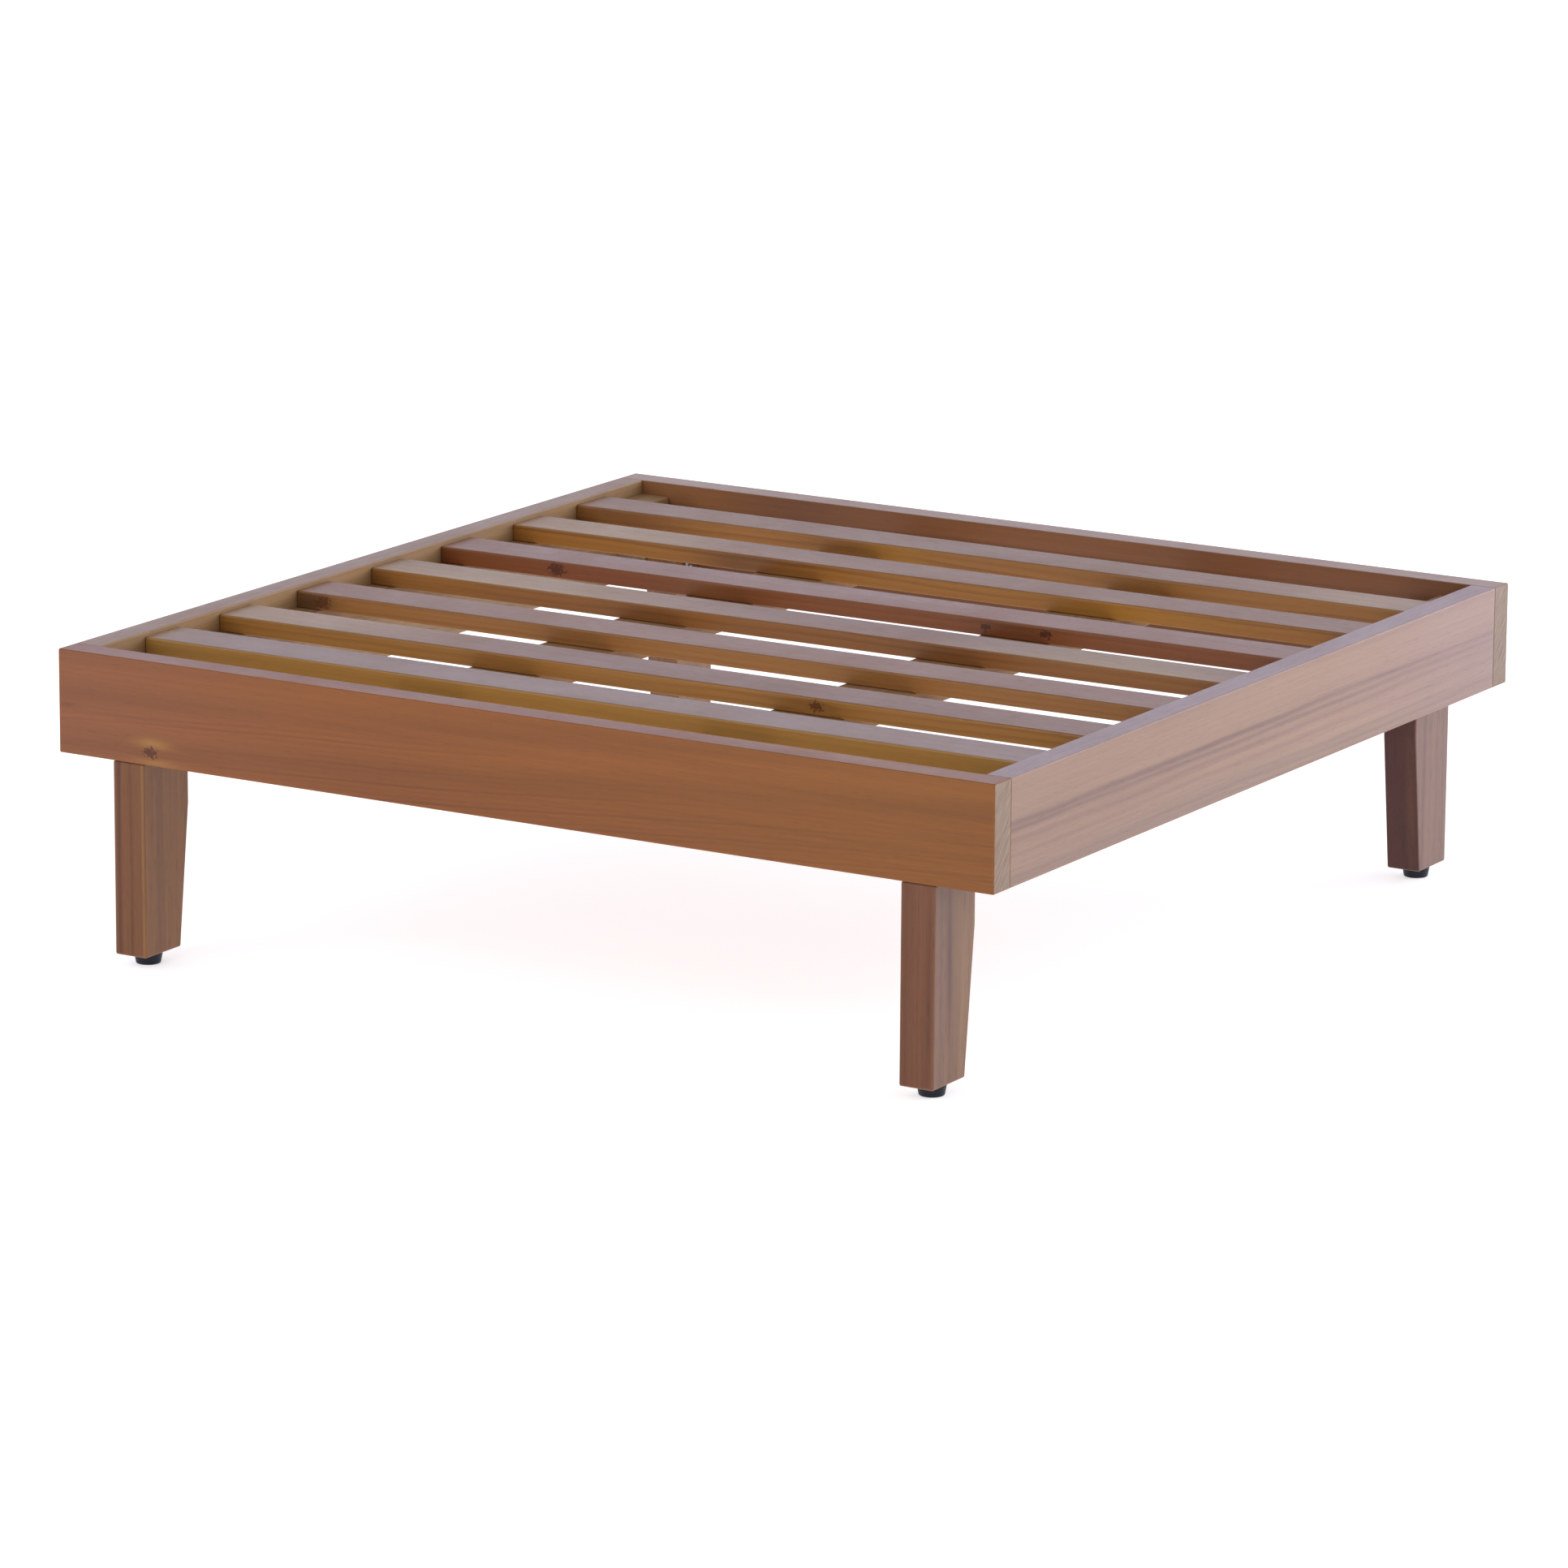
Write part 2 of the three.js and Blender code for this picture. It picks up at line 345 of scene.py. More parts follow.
@dataclass(frozen=True)
class WoodFeel:
    """What each detail of the timber adds to its roughness and to its height."""

    rub_rough: float = 0.14  # handling marks
    pore_rough: float = 0.10
    end_rough: float = 0.16
    late_rough: float = -0.03
    fibre_rise: float = 0.50  # heights are shares of the depth
    late_rise: float = 0.35
    pore_rise: float = -0.50
    core_rise: float = 0.40
    strength: float = 0.35
    depth: float = 0.25 * MM


@dataclass(frozen=True)
class WoodFinish:
    """Satin-finished hardwood, with grain that runs right through the piece."""

    pale: Triple = (0.235, 0.082, 0.020)
    deep: Triple = (0.150, 0.045, 0.011)
    cast: Triple = (0.270, 0.098, 0.018)  # the hue that slow patches drift to
    seed: float = 0.0
    pith: tuple[float, float] = (-0.10, 0.10)  # from the middle, on the two cross axes
    lean: tuple[float, float] = (0.0, 0.0)  # how far the grain slopes, metre per metre
    ring: float = 0.0042
    sway: float = 0.005
    figure: float = 0.55
    streaks: float = 0.30
    fibres: float = 0.22
    drift: float = 0.5
    pores: float = 0.10
    knots: tuple[Knot, ...] = ()
    tints: tuple[Tint, ...] = ()
    plain_above: float = 1.0  # height over the middle where the ring lines fade out
    fade: float = 0.012  # how far on each side of that height they fade
    sawn: tuple[Triple, Triple] = ((0.185, 0.140, 0.104), (0.335, 0.275, 0.215))
    sawn_show: float = 0.70  # how much of the sawn colours shows on end grain
    ray_slope: float = 1.25
    ray_rates: tuple[float, float] = (900.0, 45.0)  # across the rays and along them, per metre
    wear_highlight_tone: float = 1.25  # the colour of the edges, worn and with a painted highlight, as a share of the cast
    wear_highlight_show: float = 0.22  # how much of that colour shows on the edges
    core_tone: Triple = (0.50, 0.36, 0.40)  # a knot's core, as shares of the deep colour
    vein_share: float = 0.60  # of the streaks' strength
    band_share: float = 0.55  # of the figure's strength
    band_rate: float = 0.13  # how fast wide bands of years change
    year_rate: float = 0.37  # how fast single years do
    feel: WoodFeel = WoodFeel()
    roughness: float = 0.40
    gloss: float = 0.34

    def dress(self, name: str, stock: Stock) -> bpy.types.Material:
        """Makes the material for one piece.

        Args:
            name: The material's name.
            stock: The space that the piece fills.

        Returns:
            The finished material.
        """
        material, g = new_material(name)
        place = g.place() - tuple(stock.middle)
        axes = g.parts(place)
        u, v, w = (axes[i] for i in stock.grain.value)
        normal = g.place("Normal")
        push, core = self._knots(g, u, v, w)
        swerved = (u, v, w + push)
        phase = self._phase(g, *swerved)
        late = self._late_wood(g, phase, w)
        band = g.series(phase * self.band_rate + 2.0 * self.seed, 1.0)
        fibre, streak, vein, patch, pore = (self._layer(g, layer, swerved) for layer in Layer)
        pore = g.smooth(pore, 0.60, 0.78)
        tone = (1.0 + (fibre - 0.5) * self.fibres + (streak - 0.5) * self.streaks
                + (vein - 0.5) * self.vein_share * self.streaks
                + (band - 0.5) * self.band_share * self.figure)
        colour = g.mix(late * self.figure, self.pale, self.deep)
        colour = g.mix(g.smooth(patch, 0.38, 0.66) * self.drift, colour, self.cast)
        for number, tint in enumerate(self.tints):
            mask = self._tint(g, tint, number, (u, v, w), normal)
            colour = g.mix(mask, colour, tint.colour)
        colour = g.scaled(colour, tone * (1.0 - self.pores * pore))
        colour = g.mix(core, colour, tuple(t * c for t, c in zip(self.core_tone, self.deep)))
        ends = g.smooth(abs(g.parts(normal)[stock.grain.value[0]]), 0.72, 0.97)
        across, along = self.ray_rates
        rays = g.speckle(g.vector((w - v * self.ray_slope) * across, (v + w) * along, self.seed),
                         3.0)
        colour = g.mix(ends * self.sawn_show, colour,
                       g.mix(g.smooth(rays, 0.30, 0.70), *self.sawn))
        # The edges are lightened: partly rubbed wear, partly a painted highlight along the rounded
        # edges.
        wear_and_highlight = self._wear_and_highlight(g, axes, stock, place)
        colour = g.mix(wear_and_highlight * self.wear_highlight_show, colour, tuple(self.wear_highlight_tone * c for c in self.cast))
        rubbed = g.speckle(place, 2.0, 14.0)
        feel = self.feel
        rough = (self.roughness + (rubbed - 0.5) * feel.rub_rough + pore * feel.pore_rough
                 + ends * feel.end_rough + late * feel.late_rough)
        height = (fibre * feel.fibre_rise + late * feel.late_rise + pore * feel.pore_rise
                  + core * feel.core_rise)
        g.surface({"Base Color": colour, "Roughness": rough,
                   "Normal": g.bump(height, feel.strength, feel.depth),
                   "Specular IOR Level": self.gloss})
        return material

    def _layer(self, g: Graph, layer: Layer, spot: Sequence[Wire]) -> Wire:
        """Draws one layer of noise out along the grain.

        Args:
            g: The graph.
            layer: The layer.
            spot: Distances along the grain and on the two cross axes, past any knots.

        Returns:
            Noise from 0 to 1.
        """
        along, across, detail = layer.value
        return g.speckle(g.vector(spot[0] * along + self.seed * 3.1, spot[1] * across,
                                  spot[2] * across + self.seed * 1.7), detail)

    def _late_wood(self, g: Graph, phase: Wire, w: Wire) -> Wire:
        """Finds the dark late wood of each ring, which is stronger in some years.

        Args:
            g: The graph.
            phase: The ring number, with its fraction.
            w: Distance on the second cross axis.

        Returns:
            1 in the darkest late wood and 0 in the early wood.
        """
        ring = g.maths("FRACT", phase)
        late = g.smooth(ring, 0.25, 0.86) - g.smooth(ring, 0.90, 1.0)
        year = g.smooth(g.series(phase * self.year_rate + self.seed), 0.42, 0.70)
        late = late * (0.15 + 0.85 * year)
        if self.plain_above < 1.0:
            late = late * g.smooth(w, self.plain_above + self.fade, self.plain_above - self.fade)
        return late

    def _phase(self, g: Graph, u: Wire, v: Wire, w: Wire) -> Wire:
        """Counts growth rings out from a pith that wanders along the piece.

        Args:
            g: The graph.
            u: Distance along the grain.
            v: Distance on the first cross axis.
            w: Distance on the second cross axis.

        Returns:
            The ring number, with its fraction.
        """
        slow = g.vector(u * 2.6 + self.seed, v * 6.0 + self.seed, w * 6.0)
        side = (g.speckle(slow, 1.0) - 0.5) * (2.0 * self.sway)
        rise = (g.speckle(slow + (7.3, 1.9, 4.1), 1.0) - 0.5) * (2.0 * self.sway)
        across = v - self.pith[0] + u * self.lean[0] + side
        above = w - self.pith[1] + u * self.lean[1] + rise
        ripple = g.speckle(g.vector(u * 14.0, v * 60.0, w * 60.0 + self.seed), 1.0)
        radius = (across * across + above * above) ** 0.5
        return radius / self.ring + ripple * 0.5

    def _knots(self, g: Graph, u: Wire, v: Wire, w: Wire) -> tuple[Number, Number]:
        """Places the knots.

        Args:
            g: The graph.
            u: Distance along the grain.
            v: Distance on the first cross axis.
            w: Distance on the second cross axis.

        Returns:
            How far the grain is pushed on the second cross axis, and the dark cores.
        """
        push: Number = 0.0
        core: Number = 0.0
        for knot in self.knots:
            side = w - knot.across
            ahead = (u - knot.along) / knot.stretch
            off = (side * side + ahead * ahead) ** 0.5 / knot.radius
            near = g.maths("EXPONENT", off * off * -knot.spread)
            push = push - side * near * knot.pull
            wobble = g.speckle(g.vector(*(axis * knot.grit for axis in (u, v, w))), 2.0)
            rim = off + (wobble - 0.5) * knot.ragged
            core = core + g.smooth(rim, 1.25, 0.75) * knot.darkness
        return push, core

    def _tint(self, g: Graph, tint: Tint, number: int, spot: Sequence[Wire],
              normal: Wire) -> Number:
        """Finds where a tint shows.

        Args:
            g: The graph.
            tint: The tint.
            number: Its place in the list, so that no two stray alike.
            spot: Distances along the grain and on the two cross axes.
            normal: The way that the surface looks.

        Returns:
            Its strength, from 0 up.
        """
        shade: Number = tint.strength
        if tint.facing is not None:
            look = g.parts(normal * tint.facing.value)
            shade = shade * g.smooth(look[0] + look[1] + look[2], 0.50, 0.85)
        if tint.width is not None:
            slow = g.vector(spot[0] * 5.0 + 3.7 * number, self.seed, 1.3 * number)
            stray = (g.speckle(slow, 2.0) - 0.5) * (2.0 * tint.wave)
            side = (spot[1 + tint.axis] - tint.across + stray) / tint.width
            loose = g.speckle(g.vector(spot[0] * 9.0, spot[1] * 240.0, spot[2] * 240.0), 2.0)
            shade = shade * g.maths("EXPONENT", side * side * -1.0) * (0.55 + 0.9 * loose)
        if tint.reach is not None:
            ahead = (spot[0] - tint.along) / tint.reach
            shade = shade * g.maths("EXPONENT", ahead * ahead * -1.0)
        return shade

    @staticmethod
    def _wear_and_highlight(g: Graph, axes: Sequence[Wire], stock: Stock, place: Wire) -> Wire:
        """Finds the edges of the piece, lightened partly as rubbed wear and partly as a painted
        highlight.

        Args:
            g: The graph.
            axes: Distances from the middle on X, Y and Z.
            stock: The space that the piece fills.
            place: The same distances as one vector.

        Returns:
            1 along the edges, broken up, and 0 on the flats.
        """
        gaps = [stock.half[i] - abs(axes[i]) for i in range(3)]
        a, b, c = gaps
        second = g.maths("MAXIMUM", g.maths("MINIMUM", a, b),
                         g.maths("MINIMUM", g.maths("MAXIMUM", a, b), c))
        chatter = g.speckle(place, 2.0, 90.0)
        return g.smooth(second + (chatter - 0.5) * (3.0 * MM), 2.4 * MM, 0.4 * MM)


@dataclass(frozen=True)
class MetalFinish:
    """Plated or turned metal, with fine turning marks and handling marks."""

    colour: Triple = (0.56, 0.58, 0.60)
    dull: Triple = (0.36, 0.37, 0.38)
    roughness: float = 0.34

    def dress(self, name: str) -> bpy.types.Material:
        """Makes the material.

        Args:
            name: The material's name.

        Returns:
            The finished material.
        """
        material, g = new_material(name)
        place = g.place()
        cloud = g.speckle(place, 3.0, 240.0)
        marks = g.speckle(place * (2600.0, 2600.0, 900.0), 1.0)
        colour = g.mix(g.smooth(cloud, 0.35, 0.75), self.colour, self.dull)
        rough = self.roughness + (cloud - 0.5) * 0.25 + (marks - 0.5) * 0.12
        g.surface({"Base Color": colour, "Metallic": 1.0, "Roughness": rough,
                   "Normal": g.bump(marks, 0.3, 0.05 * MM)})
        return material


@dataclass(frozen=True)
class PlasticFinish:
    """Moulded black plastic, with a fine spark-eroded texture and dust."""

    colour: Triple = (0.0022, 0.0026, 0.0120)
    dusty: Triple = (0.0050, 0.0060, 0.0200)
    roughness: float = 0.50
    gloss: float = 0.32

    def dress(self, name: str) -> bpy.types.Material:
        """Makes the material.

        Args:
            name: The material's name.

        Returns:
            The finished material.
        """
        material, g = new_material(name)
        place = g.place()
        pebble = g.speckle(place, 2.0, 1500.0)
        dust = g.speckle(place, 4.0, 160.0)
        colour = g.mix(g.smooth(dust, 0.48, 0.80), self.colour, self.dusty)
        rough = self.roughness + (pebble - 0.5) * 0.16 + (dust - 0.5) * 0.12
        g.surface({"Base Color": colour, "Roughness": rough,
                   "Normal": g.bump(pebble, 0.35, 0.06 * MM), "Specular IOR Level": self.gloss})
        return material


@dataclass(frozen=True)
class FloorFinish:
    """A plain pale studio floor that glows a little, as an over-lit sweep does."""

    colour: Triple = (0.90, 0.90, 0.905)
    glow: float = 0.60
    gloss: float = 0.2

    def dress(self, name: str) -> bpy.types.Material:
        """Makes the material.

        Args:
            name: The material's name.

        Returns:
            The finished material.
        """
        material, g = new_material(name)
        cloud = g.speckle(g.place(), 2.0, 3.0)
        colour = g.mix(cloud, self.colour, tuple(0.985 * c for c in self.colour))
        g.surface({"Base Color": colour, "Roughness": 0.75 + (cloud - 0.5) * 0.1,
                   "Specular IOR Level": self.gloss, "Emission Color": colour,
                   "Emission Strength": self.glow})
        return material


# ---------------------------------------------------------------- mesh building


Side = tuple[int, int]  # signs on the two cross axes, or on one of them with a 0


@dataclass(frozen=True)
class Easing:
    """How far the edges of a bar are rounded over, in metres.

    Sides and corners are given by their signs on the bar's two cross axes.
    """

    long_edges: float = 1.5 * MM
    corners: dict[Side, float] = field(default_factory=dict)
    end_edges: float = 0.5 * MM
    end_sides: dict[Side, float] = field(default_factory=dict)
    tight: float = 0.3 * MM  # easing where another board butts against a corner
    butted: tuple[Side, ...] = ()  # corners that are tight near both ends
    butt_length: float = 0.0


@dataclass(frozen=True)
class BarMaker:
    """Lofts a timber bar along its grain, with hand-eased edges that vary a little."""

    low: Vector
    high: Vector
    grain: Grain
    easing: Easing
    seed: float = 0.0
    unevenness: float = 0.18  # share by which an eased edge varies
    bow: float = 0.0  # how far the middle line strays, in metres
    arc_steps: int = 4
    spacing: float = 0.03
    end_shares: tuple[float, ...] = (0.0, 0.08, 0.25, 0.55, 1.0)  # of an eased end
    settle: float = 3.0 * MM  # from an eased end to the first full section

    def mesh(self, name: str) -> bpy.types.Mesh:
        """Builds the bar.

        Args:
            name: The mesh's name.

        Returns:
            A closed mesh.
        """
        shape = bmesh.new()
        loft(shape, [self._ring(shape, station) for station in self._stations()])
        return smooth_mesh(name, shape)

    def _length(self) -> float:
        """Returns the bar's length."""
        axis = self.grain.value[0]
        return self.high[axis] - self.low[axis]

    def _stations(self) -> list[float]:
        """Returns the distances from the first end at which the bar has a section."""
        ends = max([self.easing.end_edges, *self.easing.end_sides.values()])
        near = [ends * share for share in self.end_shares] + [ends + self.settle]
        if self.easing.butted:
            near += [self.easing.butt_length - MM, self.easing.butt_length + MM]
        length = self._length()
        inner = length - 2 * near[-1]
        count = max(2, round(inner / self.spacing))
        middle = [near[-1] + inner * k / count for k in range(1, count)]
        return near + middle + [length - d for d in reversed(near)]

    def _ring(self, shape: bmesh.types.BMesh, station: float) -> list[bmesh.types.BMVert]:
        """Adds one section.

        Args:
            shape: The mesh being built.
            station: Distance from the first end.

        Returns:
            The section's vertices, counter-clockwise on the cross axes.
        """
        along, first, second = self.grain.value
        middle = (self.low + self.high) / 2
        from_end = min(station, self._length() - station)
        half = [(self.high[a] - self.low[a]) / 2 for a in (first, second)]
        stray = [self.bow * noise.noise(Vector((station * 2.2, self.seed, 5.0 + k)))
                 for k in (0, 1)]
        verts = []
        for quarter, corner in enumerate(((1, 1), (-1, 1), (-1, -1), (1, -1))):
            radius = self._radius(corner, station, from_end)
            reach = [half[0] - self._inset((corner[0], 0), from_end),
                     half[1] - self._inset((0, corner[1]), from_end)]
            for step in range(self.arc_steps + 1):
                angle = QUARTER_TURN * (quarter + step / self.arc_steps)
                point = Vector((0.0, 0.0, 0.0))
                point[along] = self.low[along] + station
                point[first] = (middle[first] + stray[0] + corner[0] * (reach[0] - radius)
                                + radius * math.cos(angle))
                point[second] = (middle[second] + corner[1] * (reach[1] - radius)
                                 + radius * math.sin(angle))
                verts.append(shape.verts.new(point))
        return verts

    def _radius(self, corner: Side, station: float, from_end: float) -> float:
        """Returns how far a long edge is rounded over at a station."""
        easing = self.easing
        if corner in easing.butted and from_end < easing.butt_length:
            return easing.tight
        wave = noise.noise(Vector((station * 9.0, self.seed, corner[0] + 3.0 * corner[1])))
        full = easing.corners.get(corner, easing.long_edges)
        return full * (1.0 + self.unevenness * wave)

    def _inset(self, side: Side, from_end: float) -> float:
        """Returns how far a side stands in where the end is rounded over."""
        radius = self.easing.end_sides.get(side, self.easing.end_edges)
        if from_end >= radius:
            return 0.0
        return radius - math.sqrt(radius ** 2 - (radius - from_end) ** 2)


@dataclass(frozen=True)
class TurnedMaker:
    """Turns a closed profile about an axis, some of its rings round and some hexagonal."""

    profile: Profile
    hexagons: tuple[int, ...] = ()  # which rings are hexagons
    steps: int = 48

    def mesh(self, name: str, place: Matrix) -> bpy.types.Mesh:
        """Builds the body.

        Args:
            name: The mesh's name.
            place: From the profile's own axes, with Z as the axis, to the frame.

        Returns:
            A closed mesh.
        """
        shape = bmesh.new()
        rings = []
        for number, (radius, height) in enumerate(self.profile):
            if radius == 0.0:
                rings.append([shape.verts.new((0.0, 0.0, height))])
                continue
            ring = []
            for step in range(self.steps):
                angle = 2 * math.pi * step / self.steps
                reach = radius
                if number in self.hexagons:
                    turn = angle % (math.pi / 3) - math.pi / 6
                    reach = radius * math.cos(math.pi / 6) / math.cos(turn)
                ring.append(shape.verts.new(
                    (reach * math.cos(angle), reach * math.sin(angle), height)))
            rings.append(ring)
        for first, second in zip(rings, rings[1:]):
            for i in range(self.steps):
                j = (i + 1) % self.steps
                corners = (first[i % len(first)], first[j % len(first)],
                           second[j % len(second)], second[i % len(second)])
                shape.faces.new(list(dict.fromkeys(corners)))
        bmesh.ops.recalc_face_normals(shape, faces=shape.faces)
        shape.transform(place)
        return smooth_mesh(name, shape)


@dataclass(frozen=True)
class ThreadMaker:
    """Makes a rod with a helical thread and chamfered ends."""

    radius: float
    pitch: float
    length: float
    depth: float
    chamfer: float = 0.8 * MM
    steps: int = 32
    rows_per_turn: int = 8

    def mesh(self, name: str, place: Matrix) -> bpy.types.Mesh:
        """Builds the rod, from height 0 up to its length.

        Args:
            name: The mesh's name.
            place: From the rod's own axes to the frame.

        Returns:
            A closed mesh.
        """
        shape = bmesh.new()
        rows = max(2, round(self.length / self.pitch * self.rows_per_turn))
        loft(shape, [[shape.verts.new(self._point(step, self.length * row / rows))
                      for step in range(self.steps)] for row in range(rows + 1)])
        shape.transform(place)
        return smooth_mesh(name, shape)

    def _point(self, step: int, height: float) -> Triple:
        """Returns one point of the rod's surface."""
        angle = 2 * math.pi * step / self.steps
        turn = (height / self.pitch - step / self.steps) % 1.0
        groove = self.depth * (1.0 - abs(2.0 * turn - 1.0))
        tip = max(0.0, self.chamfer - min(height, self.length - height))
        reach = self.radius - max(groove, tip)
        return reach * math.cos(angle), reach * math.sin(angle), height


def loft(shape: bmesh.types.BMesh, rings: Sequence[Sequence[bmesh.types.BMVert]]) -> None:
    """Joins a row of rings with faces and closes both ends.

    Args:
        shape: The working shape.
        rings: Rings with the same number of vertices.
    """
    for first, second in zip(rings, rings[1:]):
        for i in range(len(first)):
            j = (i + 1) % len(first)
            shape.faces.new((first[i], first[j], second[j], second[i]))
    shape.faces.new(list(reversed(rings[0])))
    shape.faces.new(rings[-1])
    bmesh.ops.recalc_face_normals(shape, faces=shape.faces)


def bore(radius: float, bottom: float, top: float) -> Profile:
    """Returns the profile of a plain round hole."""
    return [(0.0, bottom), (radius, bottom), (radius, top), (0.0, top)]


def turned_sideways(side: int) -> Matrix:
    """Returns the turn that lays Z along X, pointing to +X for 1 and to -X for -1."""
    return Quaternion((0, 1, 0), side * QUARTER_TURN).to_matrix().to_4x4()


def put(name: str, data: bpy.types.ID) -> bpy.types.Object:
    """Returns a new object that is in the scene."""
    made = bpy.data.objects.new(name, data)
    bpy.context.scene.collection.objects.link(made)
    return made


def smooth_mesh(name: str, shape: bmesh.types.BMesh) -> bpy.types.Mesh:
    """Turns a working shape into a smooth-shaded mesh.

    Args:
        name: The mesh's name.
        shape: The working shape, which is freed.

    Returns:
        The mesh.
    """
    mesh = bpy.data.meshes.new(name)
    for face in shape.faces:
        face.smooth = True
    shape.to_mesh(mesh)
    shape.free()
    return mesh


def drilled(body: bpy.types.Mesh, drills: Sequence[bpy.types.Mesh]) -> bpy.types.Mesh:
    """Cuts holes.

    Args:
        body: The mesh to cut.
        drills: A closed mesh for each hole.

    Returns:
        A new mesh with the holes cut.
    """
    holder = put("holder", body)
    tools = []
    for drill in drills:
        tool = put("drill", drill)
        cut = holder.modifiers.new("cut", "BOOLEAN")
        cut.operation, cut.solver, cut.object = "DIFFERENCE", "EXACT", tool
        tools.append(tool)
    bpy.context.view_layer.update()
    ready = holder.evaluated_get(bpy.context.evaluated_depsgraph_get())
    result = bpy.data.meshes.new_from_object(ready)
    for thing in (*tools, holder):
        bpy.data.objects.remove(thing)
    return result


# ---------------------------------------------------------------- putting pieces in


@dataclass
class Workshop:
    """Puts finished pieces in place of the CAD nodes that they stand for."""

    bodies: dict[str, str]
    flat_lead: int = 90  # how far the flats lead the eased edges in the shading, in percent

    @classmethod
    def from_record(cls, record: dict) -> "Workshop":
        """Reads which body each node rides on.

        Args:
            record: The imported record.

        Returns:
            The workshop.
        """
        groups = record["behaviour"]["bodies"]
        return cls({node: body for body, nodes in groups.items() for node in nodes})

    def bar(self, node: str, grain: Grain, easing: Easing, finish: WoodFinish, slot: str,
            drills: Sequence[bpy.types.Mesh] = (), **shaping: float) -> None:
        """Makes a timber bar the size of a CAD node and puts it in the node's place.

        Args:
            node: The CAD node.
            grain: The way that the bar runs.
            easing: How its edges are rounded over.
            finish: Its timber.
            slot: The record's material slot; not used.
            drills: A closed mesh for each hole.
            **shaping: The bar maker's other sizes.
        """
        low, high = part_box(node)
        mesh = BarMaker(low, high, grain, easing, finish.seed, **shaping).mesh(node)
        if drills:
            mesh = drilled(mesh, drills)
        self.fit(node, mesh, finish.dress(node, stock_of(node, grain)))

    def fit(self, node: str, mesh: bpy.types.Mesh, material: bpy.types.Material) -> None:
        """Puts a new piece in place of a CAD node.

        Args:
            node: The CAD node, which the piece stands for.
            mesh: The piece's mesh, in the frame's own metres.
            material: Its finish.
        """
        piece = put(node + "_made", mesh)
        mesh.materials.clear()
        mesh.materials.append(material)
        flatten = piece.modifiers.new("even_normals", "WEIGHTED_NORMAL")
        flatten.weight = self.flat_lead
        flatten.keep_sharp = True
        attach(piece, self.bodies[node])
        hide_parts(node)
        log.info("made %s on %s", piece.name, self.bodies[node])

    def refinish(self, node: str, material: bpy.types.Material) -> None:
        """Gives a CAD node that stays a better material.

        Args:
            node: The CAD node.
            material: Its finish.
        """
        kept = frame["nodes"][node]
        kept.data.materials.clear()
        kept.data.materials.append(material)
        log.info("refinished %s", node)


def stock_of(node: str, grain: Grain) -> Stock:
    """Returns the space that a CAD node fills.

    Args:
        node: The CAD node.
        grain: The way that its grain runs.

    Returns:
        Its middle and half sizes, with its grain.
    """
    low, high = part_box(node)
    return Stock((low + high) / 2, (high - low) / 2, grain)


# ---------------------------------------------------------------- rails


